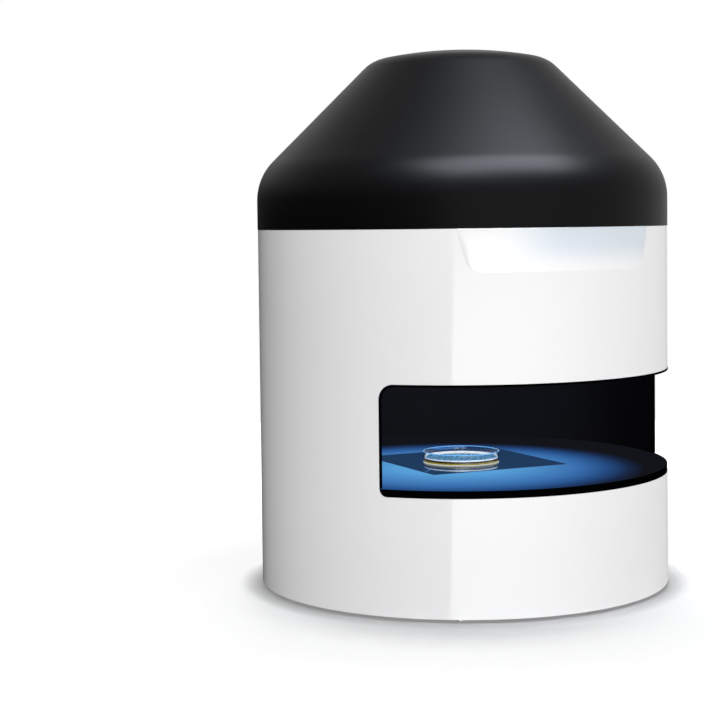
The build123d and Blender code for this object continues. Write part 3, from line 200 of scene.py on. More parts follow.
def draw(name, corners):
    """Draws an outline in a new piece: one vertex, extruded from each corner to the next."""
    if bpy.context.object and bpy.context.object.mode == "EDIT":
        bpy.ops.object.mode_set(mode="OBJECT")
    bpy.ops.object.select_all(action="DESELECT")
    bpy.ops.mesh.primitive_plane_add(size=0.01)
    piece = bpy.context.object
    piece.name = name
    piece.data.name = name
    bpy.ops.object.mode_set(mode="EDIT")
    bpy.ops.mesh.select_all(action="SELECT")
    bpy.ops.mesh.merge(type="CENTER")
    spots = [Vector(corner) for corner in corners]
    bpy.ops.transform.translate(value=spots[0])
    for here, there in zip(spots, spots[1:]):
        bpy.ops.mesh.extrude_region_move(TRANSFORM_OT_translate={"value": there - here})
    bpy.ops.mesh.select_all(action="SELECT")
    return piece


def settle(piece, angle=35.0):
    """Merges doubles, turns the faces outwards and smooths what is not an edge."""
    bpy.ops.mesh.select_all(action="SELECT")
    bpy.ops.mesh.remove_doubles(threshold=0.000004)
    bpy.ops.mesh.normals_make_consistent(inside=False)
    bpy.ops.object.mode_set(mode="OBJECT")
    bpy.ops.object.shade_smooth_by_angle(angle=math.radians(angle))
    return piece


def turned(name, outline, steps, centre=(0, 0), angle=35.0):
    """A turned piece: an outline of (radius, height) spun round an upright axis."""
    piece = draw(name, [(centre[0] + radius, centre[1], height) for radius, height in outline])
    bpy.ops.mesh.edge_face_add()
    bpy.ops.mesh.delete(type="ONLY_FACE")
    bpy.ops.mesh.select_all(action="SELECT")
    bpy.ops.mesh.spin(steps=steps, angle=math.tau, center=(*centre, 0), axis=(0, 0, 1))
    return settle(piece, angle)


def finished(piece, finish, slot, body, *stands_for):
    """Gives a new piece its finish and its body, and hides the nodes that it stands for; its slot is not
    used.
    """
    piece.data.materials.clear()
    piece.data.materials.append(finish.material)
    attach(piece, body)
    if stands_for:
        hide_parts(*stands_for)


def joined(name, pieces):
    """Makes one piece of several."""
    bpy.ops.object.select_all(action="DESELECT")
    for piece in pieces:
        piece.select_set(True)
    bpy.context.view_layer.objects.active = pieces[0]
    if len(pieces) > 1:
        bpy.ops.object.join()
    pieces[0].name = name
    return pieces[0]


def placed_copies(piece, name, shifts):
    """Copies of a piece, each moved by its shift, in one piece."""
    copies = []
    for shift in shifts:
        copy = piece.copy()
        copy.data = piece.data.copy()
        bpy.context.scene.collection.objects.link(copy)
        copy.data.transform(Matrix.Translation(Vector(shift)))
        copies.append(copy)
    bpy.data.objects.remove(piece)
    return joined(name, copies)


foot_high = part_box("rubber_feet")[1]
foot_radius = 0.018
foot_edge = 0.0012
foot_recess = 0.009
recess_top = 0.0025
foot_reach = foot_high.x - foot_radius
foot_outline = [
    (0, foot_high.z),
    (foot_radius, foot_high.z),
    *arc((foot_radius - foot_edge, foot_edge), foot_edge, 0, -90, 6),
    *arc((foot_recess + foot_edge / 2, foot_edge / 2), foot_edge / 2, -90, -180, 4),
    (foot_recess, recess_top),
    (0, recess_top),
]
foot_steps = 96
foot = turned("foot", foot_outline, foot_steps)
foot_sides = (-foot_reach, foot_reach)
feet = placed_copies(foot, "feet", [(x, y, 0) for x in foot_sides for y in foot_sides])
foot_rubber = Finish("foot_rubber", {"Specular IOR Level": 0.25})
rubber_grain = foot_rubber.grain(900.0, 2.0)
foot_rubber.set({
    "Base Color": foot_rubber.blend(rubber_grain, (0.012, 0.012, 0.013, 1), (0.024, 0.024, 0.026, 1)),
    "Roughness": 0.62 + 0.2 * rubber_grain,
})
foot_rubber.relief(rubber_grain, 0.0001, 0.5)
finished(feet, foot_rubber, "foot_rubber", "housing", "rubber_feet")

# --- Power supply and control board ---------------------------------------------------------------
# A boxed supply unit and a green circuit board on hexagonal standoffs sit side by side on the base
# plate. Chips, connectors, capacitors and a finned heat sink are soldered to the board.
board_green = Finish("board_green", {"Roughness": 0.35, "Coat Weight": 0.4, "Coat Roughness": 0.2})
tracks = board_green.grain(260.0, 1.0, (1, 0.12, 1)).eased(0.52, 0.56)
board_green.set({"Base Color": board_green.blend(tracks, (0.004, 0.075, 0.028, 1), (0.010, 0.16, 0.06, 1))})
board_green.relief(tracks, 0.00006, 0.5)
component_black = Finish("component_black", {"Specular IOR Level": 0.3})
component_grain = component_black.grain(1400.0)
component_black.set({
    "Base Color": component_black.blend(component_grain, (0.015, 0.015, 0.016, 1), (0.03, 0.03, 0.032, 1)),
    "Roughness": 0.45 + 0.2 * component_grain,
})
zinc.cover("power_supply")
component_black.cover("supply_terminals", "board_components")
board_green.cover("control_board", "ring_light_board", "backlight_board")
turned_metal.cover("board_standoffs")

# --- Light box under the stage --------------------------------------------------------------------
# A folded aluminium tray hangs under the stage glass. Rows of blue-white LEDs on a board light an
# opal acrylic plate that lies on the tray's inner ledge.
led_blue = Finish("led_blue", {"Roughness": 0.3, "Emission Strength": 0.6})
led_grain = led_blue.grain(700.0)
led_glow = led_blue.blend(led_grain, (0.35, 0.6, 1.0, 1), (0.6, 0.8, 1.0, 1))
led_blue.set({"Base Color": led_glow, "Emission Color": led_glow})
opal = Finish("opal_plastic", {"Roughness": 0.4, "Emission Strength": 0.25})
opal_cloud = opal.grain(30.0, 2.0)
opal_white = opal.blend(opal_cloud, (0.52, 0.68, 0.86, 1), (0.64, 0.78, 0.92, 1))
opal.set({"Base Color": opal_white, "Emission Color": opal_white})
turned_metal.cover("light_box")
led_blue.cover("backlight_leds", "ring_light_leds")
opal.cover("backlight_diffuser", "ring_light_diffuser")

# --- Drum shell -----------------------------------------------------------------------------------
# One sheet of 2.5 mm steel, rolled round and turned in at its foot, then powder coated a glossy
# white. The window and the service opening are cut out of it before it is coated.


def rounded(corners, radii, steps=8):
    """A flat outline of (x, z) with each corner rounded by its own radius."""
    points = []
    count = len(corners)
    for place, (corner, radius) in enumerate(zip(corners, radii)):
        here = Vector(corner)
        before = (Vector(corners[place - 1]) - here).normalized()
        after = (Vector(corners[(place + 1) % count]) - here).normalized()
        if radius == 0:
            points.append(tuple(here))
            continue
        half = before.angle(after) / 2
        reach = radius / math.tan(half)
        centre = here + (before + after).normalized() * (radius / math.sin(half))
        start = here + before * reach - centre
        end = here + after * reach - centre
        sweep = start.angle_signed(end)
        for step in range(steps + 1):
            spoke = start.copy()
            spoke.rotate(Matrix.Rotation(-sweep * step / steps, 2))
            points.append(tuple(centre + spoke))
    return points


def blank(name, outline, near, far, edge=0.0):
    """A flat plate cut to an outline of (x, z), from depth near to depth far, its edges eased."""
    piece = draw(name, [(x, near, z) for x, z in outline])
    bpy.ops.mesh.edge_face_add()
    bpy.ops.mesh.extrude_region_move(TRANSFORM_OT_translate={"value": (0, far - near, 0)})
    bpy.ops.mesh.select_all(action="SELECT")
    bpy.ops.mesh.normals_make_consistent(inside=False)
    bpy.ops.object.mode_set(mode="OBJECT")
    if edge:
        ease = piece.modifiers.new("ease", "BEVEL")
        ease.width = edge
        ease.segments = 3
        ease.limit_method = "ANGLE"
        ease.angle_limit = math.radians(50)
        bpy.ops.object.modifier_apply(modifier=ease.name)
    return piece


def rolled(piece, radius, pitch):
    """Rolls a flat blank round the drum's axis at a radius, after a cut every so many metres."""
    bpy.ops.object.mode_set(mode="EDIT")
    width = piece.dimensions.x
    left = min(corner[0] for corner in piece.bound_box)
    cuts = int(width / pitch)
    for cut in range(1, cuts):
        bpy.ops.mesh.select_all(action="SELECT")
        bpy.ops.mesh.bisect(plane_co=(left + width * cut / cuts, 0, 0), plane_no=(1, 0, 0))
    bpy.ops.object.mode_set(mode="OBJECT")
    roll = piece.modifiers.new("roll", "SIMPLE_DEFORM")
    roll.deform_method = "BEND"
    roll.deform_axis = "Z"
    roll.angle = width / radius
    bpy.ops.object.modifier_apply(modifier=roll.name)
    piece.data.transform(Matrix.Translation((0, -radius, 0)))
    bpy.ops.object.mode_set(mode="EDIT")
    return settle(piece)


def cut(piece, cutter, operation="DIFFERENCE", keep=False):
    """Cuts one solid out of another, or welds it on."""
    bpy.ops.object.select_all(action="DESELECT")
    bpy.context.view_layer.objects.active = piece
    piece.select_set(True)
    tool = piece.modifiers.new("cut", "BOOLEAN")
    tool.operation = operation
    tool.solver = "EXACT"
    tool.object = cutter
    bpy.ops.object.modifier_apply(modifier=tool.name)
    if not keep:
        bpy.data.objects.remove(cutter)
    bpy.ops.object.shade_smooth_by_angle(angle=math.radians(35))


shell_low, shell_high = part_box("outer_shell")
drum_radius = shell_high.x
wall = 0.0025
flange = 0.016
fold = 0.0012
lip_edge = 0.0004
shell_inner = drum_radius - wall
round_steps = 288
shell_outline = [
    (shell_inner - flange, shell_low.z),
    *arc((drum_radius - fold, shell_low.z + fold), fold, -90, 0, 6),
    *arc((drum_radius - lip_edge, shell_high.z - lip_edge), lip_edge, 0, 90, 3),
    (shell_inner, shell_high.z),
    (shell_inner, shell_low.z + wall),
    (shell_inner - flange, shell_low.z + wall),
]
drum_shell = turned("drum_shell", shell_outline, round_steps)

# The window reaches from 50.6 degrees left of the front to 75.6 degrees right of it.
window_left = drum_radius * math.radians(-50.6)
window_right = drum_radius * math.radians(75.6)
window_sill = 0.1267
window_head = 0.2423
head_radius = 0.016
sill_radius = 0.008
roll_pitch = 0.004
fine_pitch = 0.002
window_corners = [
    (window_left, window_sill),
    (window_right, window_sill),
    (window_right, window_head),
    (window_left, window_head),
]
window_outline = rounded(window_corners, (sill_radius, sill_radius, head_radius, head_radius), 12)
tool_front = 0.01
tool_back = 0.03
window_blank = blank("window_tool", window_outline, -tool_front, tool_back)
window_tool = rolled(window_blank, drum_radius, roll_pitch)
cut(drum_shell, window_tool, keep=True)
panel_low, panel_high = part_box("rear_panel")
panel_foot = 0.020
panel_gap = 0.0003
service_near = 0.15
service_far = 0.26
service_outline = [
    (panel_low.x - panel_gap, panel_foot - panel_gap),
    (panel_high.x + panel_gap, panel_foot - panel_gap),
    (panel_high.x + panel_gap, panel_high.z + panel_gap),
    (panel_low.x - panel_gap, panel_high.z + panel_gap),
]
service_tool = blank("service_tool", service_outline, service_near, service_far)
cut(drum_shell, service_tool)
drum_paint = Finish("drum_paint", {
    "Specular IOR Level": 0.1,
    "Coat Weight": 1.0,
    "Coat Roughness": 0.03,
    "Coat IOR": 1.5,
})
paint_cloud = drum_paint.grain(3.0, 2.0)
orange_peel = drum_paint.grain(650.0, 1.0)
drum_paint.set({
    "Base Color": drum_paint.blend(paint_cloud, (0.855, 0.855, 0.86, 1), (0.875, 0.875, 0.88, 1)),
    "Roughness": 0.42 + 0.06 * paint_cloud,
})
drum_paint.relief(orange_peel, 0.000006, 0.25)
finished(drum_shell, drum_paint, "drum_paint", "housing", "outer_shell")

# --- Stage plate ----------------------------------------------------------------------------------
# A round black plate, 8.3 mm thick, carries the stage glass and the chamber's wall. Its front lip
# fills the lower edge of the window, and a pool of blue light from the lamps above is painted on its top as a
# glow.
plate_low, plate_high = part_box("stage_plate")
plate_gap = 0.0003
plate_radius = shell_inner - plate_gap
lip_setback = 0.0005
lip_depth = 0.012
lip_ease = 0.0008
plate_ease = 0.0006
plate_outline = [
    (0, plate_low.z),
    (plate_radius, plate_low.z),
    *arc((plate_radius - plate_ease, plate_high.z - plate_ease), plate_ease, 0, 90, 4),
    (0, plate_high.z),
]
stage_plate = turned("stage_plate_top", plate_outline, round_steps)
lip_corners = [
    (window_left, window_sill),
    (window_right, window_sill),
    (window_right, plate_high.z),
    (window_left, plate_high.z),
]
lip_outline = rounded(lip_corners, (sill_radius, sill_radius, 0, 0), 8)
lip_blank = blank("lip", lip_outline, lip_setback, lip_depth, lip_ease)
lip = rolled(lip_blank, drum_radius, fine_pitch)
cut(stage_plate, lip, "UNION")
glass_low, glass_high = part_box("stage_glass")
glass_gap = 0.0005
ledge = 0.008
pocket_radius = 0.0025
pocket_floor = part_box("stage_gasket")[0].z
tool_foot = 0.1
tool_top = 0.2


def square_tool(name, inset, low, high, radius):
    """An upright square block over the stage glass, set in from its edges."""
    corners = [
        (glass_low.x + inset, glass_low.y + inset),
        (glass_high.x - inset, glass_low.y + inset),
        (glass_high.x - inset, glass_high.y - inset),
        (glass_low.x + inset, glass_high.y - inset),
    ]
    outline = rounded(corners, (radius,) * 4, 4) if radius else corners
    tool = draw(name, [(x, y, low) for x, y in outline])
    bpy.ops.mesh.edge_face_add()
    bpy.ops.mesh.extrude_region_move(TRANSFORM_OT_translate={"value": (0, 0, high - low)})
    return settle(tool)


cut(stage_plate, square_tool("pocket", -glass_gap, pocket_floor, tool_top, pocket_radius))
cut(stage_plate, square_tool("well", ledge, tool_foot, tool_top, 0.0))
stage_paint = Finish("stage_paint", {"Specular IOR Level": 0.0, "Emission Strength": 1.0})
across, along, height = stage_paint.axes()
stage_grain = stage_paint.grain(500.0, 3.0)
stage_paint.set({
    "Base Color": stage_paint.blend(stage_grain, (0.0006, 0.0006, 0.0009, 1), (0.0012, 0.0012, 0.0016, 1)),
    "Roughness": 0.4 + 0.15 * stage_grain,
})
stage_paint.relief(stage_grain, 0.00002, 0.3)
# The pool of blue light on the plate's top is a painted glow, brightest round this centre and fading to a dim
# blue-black.
pool_centre = (-0.038, -0.045)
pool_reach = 0.210
far_x = across - pool_centre[0]
far_y = along - pool_centre[1]
pool = 1 - (far_x * far_x + far_y * far_y) ** 0.5 / pool_reach
painted_pool_light = stage_paint.tones(pool, [
    (0.0, (0.0062, 0.0072, 0.0100, 1)),
    (0.08, (0.010, 0.020, 0.060, 1)),
    (0.19, (0.018, 0.070, 0.22, 1)),
    (0.33, (0.040, 0.150, 0.41, 1)),
    (0.72, (0.100, 0.350, 0.69, 1)),
])
# Only the plate's top face carries the painted pool of light.
top_skin = 0.0003
on_top = height.over(plate_high.z - top_skin)
stage_paint.set({"Emission Color": stage_paint.blend(on_top, (0, 0, 0, 1), painted_pool_light)})
finished(stage_plate, stage_paint, "stage_paint", "housing", "stage_plate")

# --- Stage glass and its gasket -------------------------------------------------------------------
# A square of dark float glass, 4 mm thick, lies on a rubber gasket in the stage plate's pocket. Its
# upper edges are ground to a small bevel, and it mirrors what stands on it.
glass_corner = 0.002
stage_glass = square_tool("stage_glass_top", 0, glass_low.z, glass_high.z, glass_corner)
grind = stage_glass.modifiers.new("grind", "BEVEL")
grind.width = 0.0005
grind.segments = 2
grind.limit_method = "ANGLE"
grind.angle_limit = math.radians(60)
bpy.ops.object.modifier_apply(modifier=grind.name)
dark_glass = Finish("dark_glass", {"Specular IOR Level": 0.5, "Emission Strength": 1.0})
glass_across, glass_along = dark_glass.axes()[:2]
smear = dark_glass.grain(24.0, 4.0)
# The glass is painted with a faint blue glow all over, and a brighter painted highlight along its right and
# back edges.
ground = 0.0009
right_edge = glass_across.over(glass_high.x - ground)
back_edge = glass_along.over(glass_high.y - ground)
painted_edge_highlight = right_edge.highest(back_edge)
painted_glass_glow = dark_glass.blend(smear, (0.010, 0.034, 0.090, 1), (0.013, 0.043, 0.11, 1))
dark_glass.set({
    "Base Color": dark_glass.blend(smear, (0.006, 0.014, 0.028, 1), (0.009, 0.019, 0.036, 1)),
    "Roughness": 0.015 + 0.03 * smear,
    "Emission Color": dark_glass.blend(painted_edge_highlight, painted_glass_glow, (0.05, 0.20, 0.55, 1)),
})
finished(stage_glass, dark_glass, "dark_glass", "housing", "stage_glass")
trim_rubber = Finish("trim_rubber", {"Specular IOR Level": 0.0})
trim_grain = trim_rubber.grain(1100.0, 2.0)
trim_rubber.set({
    "Base Color": trim_rubber.blend(trim_grain, (0.0006, 0.0006, 0.0008, 1), (0.0016, 0.0016, 0.0020, 1)),
    "Roughness": 0.4 + 0.2 * trim_grain,
})
trim_rubber.relief(trim_grain, 0.00002, 0.4)
trim_rubber.cover("stage_gasket")

# --- Chamber wall ---------------------------------------------------------------------------------
# Thin sheet, rolled to stand right behind the drum on the stage plate, with the same window and a
# turned-in top edge. It is painted a dull black inside, so that it throws no light on the dish.
liner_low, liner_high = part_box("chamber_liner")
liner_outer = liner_high.x
liner_wall = 0.0012
liner_flange = 0.012
liner_inner = liner_outer - liner_wall
liner_outline = [
    (liner_inner, liner_low.z),
    (liner_outer, liner_low.z),
    (liner_outer, liner_high.z),
    (liner_inner - liner_flange, liner_high.z),
    (liner_inner - liner_flange, liner_high.z - liner_wall),
    (liner_inner, liner_high.z - liner_wall),
]
chamber_wall = turned("chamber_wall", liner_outline, round_steps)
cut(chamber_wall, window_tool)
chamber_paint = Finish("chamber_paint", {"Specular IOR Level": 0.04, "Emission Strength": 1.0})
chamber_cloud = chamber_paint.grain(9.0, 3.0)
chamber_grain = chamber_paint.grain(800.0, 2.0)
chamber_paint.set({
    "Base Color": chamber_paint.blend(chamber_cloud, (0.002, 0.0021, 0.0028, 1), (0.0034, 0.0036, 0.0048, 1)),
    "Roughness": 0.5 + 0.15 * chamber_grain,
})
# A faint painted glow lights the wall's inside, and the ring light's housing, dimmer towards the front right.
glow_side, glow_depth = chamber_paint.axes()[:2]
lit = 1 - (glow_side * 0.8 + glow_depth * -0.6).eased(0.06, 0.2)
chamber_paint.set({
    "Emission Color": chamber_paint.blend(lit, (0.0008, 0.0008, 0.001, 1), (0.0042, 0.0045, 0.0062, 1)),
})
chamber_paint.relief(chamber_grain, 0.00003, 0.4)
finished(chamber_wall, chamber_paint, "chamber_paint", "housing", "chamber_liner")

# --- Ring light -----------------------------------------------------------------------------------
# A black channel screwed under the camera deck holds a ring of LEDs on a board, behind an opal
# acrylic ring. The camera looks down through its middle.
chamber_paint.cover("ring_light_housing")
screw_metal.cover("ring_light_screws")

# --- Camera deck, stand and camera ----------------------------------------------------------------
# A plated steel deck closes the chamber at the top. A folded steel stand on it carries a cast arm,
# and the camera hangs from the arm with its lens pointing down through the deck.
camera_anodised = Finish("camera_anodised", {"Metallic": 0.6})
anodised_cloud = camera_anodised.grain(60.0)
camera_anodised.set({
    "Base Color": camera_anodised.blend(anodised_cloud, (0.05, 0.055, 0.07, 1), (0.075, 0.08, 0.10, 1)),
    "Roughness": 0.32 + 0.12 * anodised_cloud,
})
lens_black = Finish("lens_black", {"Specular IOR Level": 0.4})
lens_grain = lens_black.grain(1500.0, 1.0)
lens_black.set({
    "Base Color": lens_black.blend(lens_grain, (0.008, 0.008, 0.009, 1), (0.018, 0.018, 0.02, 1)),
    "Roughness": 0.3 + 0.15 * lens_grain,
})
lens_glass = Finish("lens_glass", {"Transmission Weight": 0.9, "IOR": 1.6, "Coat Weight": 1.0})
lens_smear = lens_glass.grain(80.0)
lens_glass.set({
    "Base Color": lens_glass.blend(lens_smear, (0.55, 0.62, 0.85, 1), (0.7, 0.66, 0.9, 1)),
    "Roughness": 0.01 + 0.02 * lens_smear,
})
zinc.cover("camera_deck", "camera_mast", "cap_ring")
turned_metal.cover("camera_arm", "lens_mount")
camera_anodised.cover("camera_body")
lens_black.cover("lens_barrel", "iris_ring", "focus_ring")
lens_glass.cover("front_lens")
screw_metal.cover("deck_screws", "mast_screws", "arm_screws", "iris_lock_screw", "focus_lock_screw")

# --- Window edging --------------------------------------------------------------------------------
# A black rubber section is pushed over the cut edges of the drum and the chamber wall. It runs up
# both sides and along the top of the window, and its feet stand on the stage plate.
trim_side = 0.0015
trim_head = 0.0025
trim_proud = 0.0004
trim_ease = 0.0004
trim_corners = [
    (window_left, plate_high.z),
    (window_left, window_head),
    (window_right, window_head),
    (window_right, plate_high.z),
    (window_right - trim_side, plate_high.z),
    (window_right - trim_side, window_head - trim_head),
    (window_left + trim_side, window_head - trim_head),
    (window_left + trim_side, plate_high.z),
]
inner_radius = head_radius - trim_side
trim_outline = rounded(trim_corners, (0, head_radius, head_radius, 0, 0, inner_radius, inner_radius, 0), 10)
trim_depth = drum_radius - liner_inner
trim_blank = blank("window_edging", trim_outline, -trim_proud, trim_depth, trim_ease)
window_edging = rolled(trim_blank, drum_radius, roll_pitch)
finished(window_edging, trim_rubber, "trim_rubber", "housing", "window_trim")

# --- Badge plate ----------------------------------------------------------------------------------
# A thin polished plate, left bare, is bonded to the front of the drum right under the cap. It is
# wider at its top, and its lower corners are round.
badge_low, badge_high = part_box("badge_plate")
badge_top = drum_radius * math.radians(29.9)
badge_foot = drum_radius * math.radians(26.8)
badge_corner = 0.018
badge_front = 0.00044
badge_back = 0.0001
badge_ease = 0.0003
badge_corners = [
    (-badge_foot, badge_low.z),
    (badge_foot, badge_low.z),
    (badge_top, badge_high.z),
    (-badge_top, badge_high.z),
]
badge_outline = rounded(badge_corners, (badge_corner, badge_corner, 0, 0), 12)
badge_blank = blank("badge", badge_outline, -badge_front, -badge_back, badge_ease)
badge = rolled(badge_blank, drum_radius, fine_pitch)
badge_metal = Finish("badge_metal", {"Coat Weight": 1.0, "Coat Roughness": 0.03})
badge_cloud = badge_metal.grain(14.0, 2.0)
badge_side, _, badge_height = badge_metal.axes()
# A painted bluish reflection tints the badge's upper right.
painted_sky_reflection = badge_side.eased(-0.085, -0.005) * badge_height.eased(0.357, 0.385)
badge_white = badge_metal.blend(badge_cloud, (0.84, 0.84, 0.845, 1), (0.87, 0.87, 0.875, 1))
badge_metal.set({
    "Base Color": badge_metal.blend(painted_sky_reflection, badge_white, (0.62, 0.69, 0.76, 1)),
    "Roughness": 0.22 + 0.06 * badge_cloud,
})
finished(badge, badge_metal, "badge_metal", "housing", "badge_plate")

# --- Cap ------------------------------------------------------------------------------------------
# The cap is one moulding in satin black plastic, 4 mm thick: a straight band over the drum's edge,
# a broad shoulder, a cone and a slightly crowned top. Two screws at the back hold it to a steel ring.
cap_low, cap_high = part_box("top_cap")
cap_radius = cap_high.x
cap_wall = 0.004
cone_foot = 0.4583
cone_angle = math.radians(44.7)
shoulder_radius = 0.062
crown_edge_radius = 0.039
crown_radius = 0.455
cap_foot_ease = 0.0008
crown_centre = cap_high.z - crown_radius
cone_normal = 90 - math.degrees(cone_angle)
shoulder_centre = (
    cap_radius - shoulder_radius,
    cone_foot - shoulder_radius * math.tan(math.radians(cone_normal / 2)),
)
# The crown's edge touches the cone and the crown: its centre is this far in from the cone's line.
edge_start = (
    cap_radius - crown_edge_radius * math.sin(cone_angle),
    cone_foot - crown_edge_radius * math.cos(cone_angle),
)
edge_reach = crown_radius - crown_edge_radius
rise = edge_start[1] - crown_centre
half_chord = rise * math.sin(cone_angle) - edge_start[0] * math.cos(cone_angle)
run = math.sqrt(half_chord**2 + edge_reach**2 - edge_start[0] ** 2 - rise**2) - half_chord
edge_centre = (
    edge_start[0] - run * math.cos(cone_angle),
    edge_start[1] + run * math.sin(cone_angle),
)
crown_start = math.degrees(math.atan2(edge_centre[1] - crown_centre, edge_centre[0]))


def cap_line(inset):
    """The cap's outline from its foot to the middle of its top, drawn in by an inset."""
    return [
        *arc(shoulder_centre, shoulder_radius - inset, 0, cone_normal, 16),
        *arc(edge_centre, crown_edge_radius - inset, cone_normal, crown_start, 12),
        *arc((0, crown_centre), crown_radius - inset, crown_start, 90, 10)[1:],
    ]


cap_outline = [
    (cap_radius - cap_wall, cap_low.z),
    *arc((cap_radius - cap_foot_ease, cap_low.z + cap_foot_ease), cap_foot_ease, -90, 0, 4),
    *cap_line(0),
    *reversed(cap_line(cap_wall)),
]
cap = turned("cap", cap_outline, round_steps)
cap_plastic = Finish("cap_plastic", {"Specular IOR Level": 0.04})
cap_cloud = cap_plastic.grain(12.0, 3.0)
spark = cap_plastic.grain(2200.0, 1.0)
cap_plastic.set({
    "Base Color": cap_plastic.blend(cap_cloud, (0.0014, 0.0014, 0.0017, 1), (0.0020, 0.0020, 0.0024, 1)),
    "Roughness": 0.36 + 0.05 * cap_cloud,
})
cap_plastic.relief(spark, 0.00001, 0.3)
finished(cap, cap_plastic, "cap_plastic", "housing", "top_cap")
screw_metal.cover("cap_screws")

# --- Service panel --------------------------------------------------------------------------------
# A folded tray, let into the back of the drum and painted grey, carries the fan with its stamped
# guard, two data sockets and the moulded power entry with its fuse drawer and switch.
panel_paint = Finish("panel_paint", {"Specular IOR Level": 0.4})
panel_grain = panel_paint.grain(900.0, 2.0)
panel_paint.set({
    "Base Color": panel_paint.blend(panel_grain, (0.30, 0.305, 0.31, 1), (0.36, 0.365, 0.37, 1)),
    "Roughness": 0.42 + 0.15 * panel_grain,
})
panel_paint.relief(panel_grain, 0.00004, 0.4)
black_plastic = Finish("black_plastic", {"Specular IOR Level": 0.35})
plastic_grain = black_plastic.grain(1300.0, 2.0)
black_plastic.set({
    "Base Color": black_plastic.blend(plastic_grain, (0.012, 0.012, 0.013, 1), (0.022, 0.022, 0.024, 1)),
    "Roughness": 0.38 + 0.18 * plastic_grain,
})
black_plastic.relief(plastic_grain, 0.00004, 0.4)
rocker_plastic = Finish("rocker_plastic", {"Coat Weight": 0.3, "Coat Roughness": 0.15})
rocker_grain = rocker_plastic.grain(700.0)
rocker_plastic.set({
    "Base Color": rocker_plastic.blend(rocker_grain, (0.014, 0.014, 0.015, 1), (0.024, 0.024, 0.026, 1)),
    "Roughness": 0.25 + 0.1 * rocker_grain,
})
socket_metal = plated("socket_metal", (0.78, 0.78, 0.78), (0.68, 0.68, 0.69), 0.34, (1, 0.1, 1))
pin_brass = plated("pin_brass", (0.86, 0.78, 0.60), (0.72, 0.62, 0.44), 0.18, (1, 0.1, 1))
panel_paint.cover("rear_panel")
screw_metal.cover("panel_screws", "fan_screws")
black_plastic.cover("fan_frame", "fan_rotor", "power_inlet", "fuse_drawer")
rocker_plastic.cover("power_rocker")
socket_metal.cover("fan_guard", "data_sockets")
pin_brass.cover("inlet_pins")

# --- Petri dish -----------------------------------------------------------------------------------
# The base of a 90 mm Petri dish, moulded in clear polystyrene with a rounded rim and a foot ring,
# lies open on the stage glass.
dish_low, dish_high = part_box("petri_dish")
dish_centre = ((dish_low.x + dish_high.x) / 2, (dish_low.y + dish_high.y) / 2)
dish_radius = (dish_high.x - dish_low.x) / 2
dish_wall = 0.0012
dish_floor = 0.0011
foot_ring = 0.0004
dish_ease = 0.0006
ring_radius = dish_radius - 2 * dish_wall
dish_outline = [
    (0, dish_low.z + foot_ring),
    (ring_radius, dish_low.z + foot_ring),
    (ring_radius, dish_low.z),
    *arc((dish_radius - dish_ease, dish_low.z + dish_ease), dish_ease, -90, 0, 5),
    *arc((dish_radius - dish_wall / 2, dish_high.z - dish_wall / 2), dish_wall / 2, 0, 180, 10),
    (dish_radius - dish_wall, dish_low.z + foot_ring + dish_floor),
    (0, dish_low.z + foot_ring + dish_floor),
]
dish_steps = 256
dish = turned("dish", dish_outline, dish_steps, dish_centre)
dish_plastic = Finish("dish_plastic", {
    "Transmission Weight": 1.0,
    "IOR": 1.3,
    "Specular IOR Level": 0.12,
    "Emission Strength": 1.0,
})
dish_haze = dish_plastic.grain(40.0, 2.0)
dish_z = dish_plastic.axes()[2]
# A painted blue glow lies along the dish's rim and a painted white highlight along its foot.
rim_band = 0.0008
foot_band = 0.0004
rim_light = dish_z.over(dish_high.z - rim_band)
foot_light = dish_z.under(dish_low.z + foot_band)
foot_glow = dish_plastic.blend(foot_light, (0, 0, 0, 1), (0.50, 0.58, 0.60, 1))
dish_plastic.set({
    "Emission Color": dish_plastic.blend(rim_light, foot_glow, (0.06, 0.20, 0.42, 1)),
    "Base Color": dish_plastic.blend(dish_haze, (0.80, 0.90, 1.0, 1), (0.90, 0.96, 1.0, 1)),
    "Roughness": 0.01 + 0.02 * dish_haze,
})
finished(dish, dish_plastic, "dish_plastic", "dish", "petri_dish")

# --- Agar and colonies ----------------------------------------------------------------------------
# Agar is poured 3 mm deep into the dish and creeps up its wall a little. Bacterial colonies grow on
# it as small round domes, the things that the machine counts.
agar_low, agar_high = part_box("agar_gel")
agar_radius = (agar_high.x - agar_low.x) / 2
meniscus = 0.0009
creep_radius = 0.0022
agar_outline = [
    (0, agar_low.z),
    (agar_radius, agar_low.z),
    (agar_radius, agar_high.z + meniscus),
    *arc((agar_radius - creep_radius, agar_high.z + creep_radius), creep_radius, -24, -90, 6),
    (0, agar_high.z),
]
agar_steps = 192
agar = turned("agar", agar_outline, agar_steps, dish_centre, 25.0)
agar_finish = Finish("agar_gel", {"Emission Strength": 1.0, "Specular IOR Level": 0.5})
agar_x, agar_y, agar_z = agar_finish.axes()
from_x = agar_x - dish_centre[0]
from_y = agar_y - dish_centre[1]
# A painted white highlight, for the ring light's shine, lies along the agar's far side and in the thin line
# of its edge.
near_shift = (-0.0058, -0.0105)
bright_x = from_x - near_shift[0]
bright_y = from_y - near_shift[1]
far_side = ((bright_x * bright_x + bright_y * bright_y) ** 0.5).eased(0.0405, 0.0430)
from_middle = (from_x * from_x + from_y * from_y) ** 0.5
gel_edge = from_middle.eased(agar_radius - 0.0016, agar_radius - 0.0008)
painted_white_highlight = far_side.highest(gel_edge)
mottle = agar_finish.grain(420.0, 4.0).eased(0.38, 0.66)
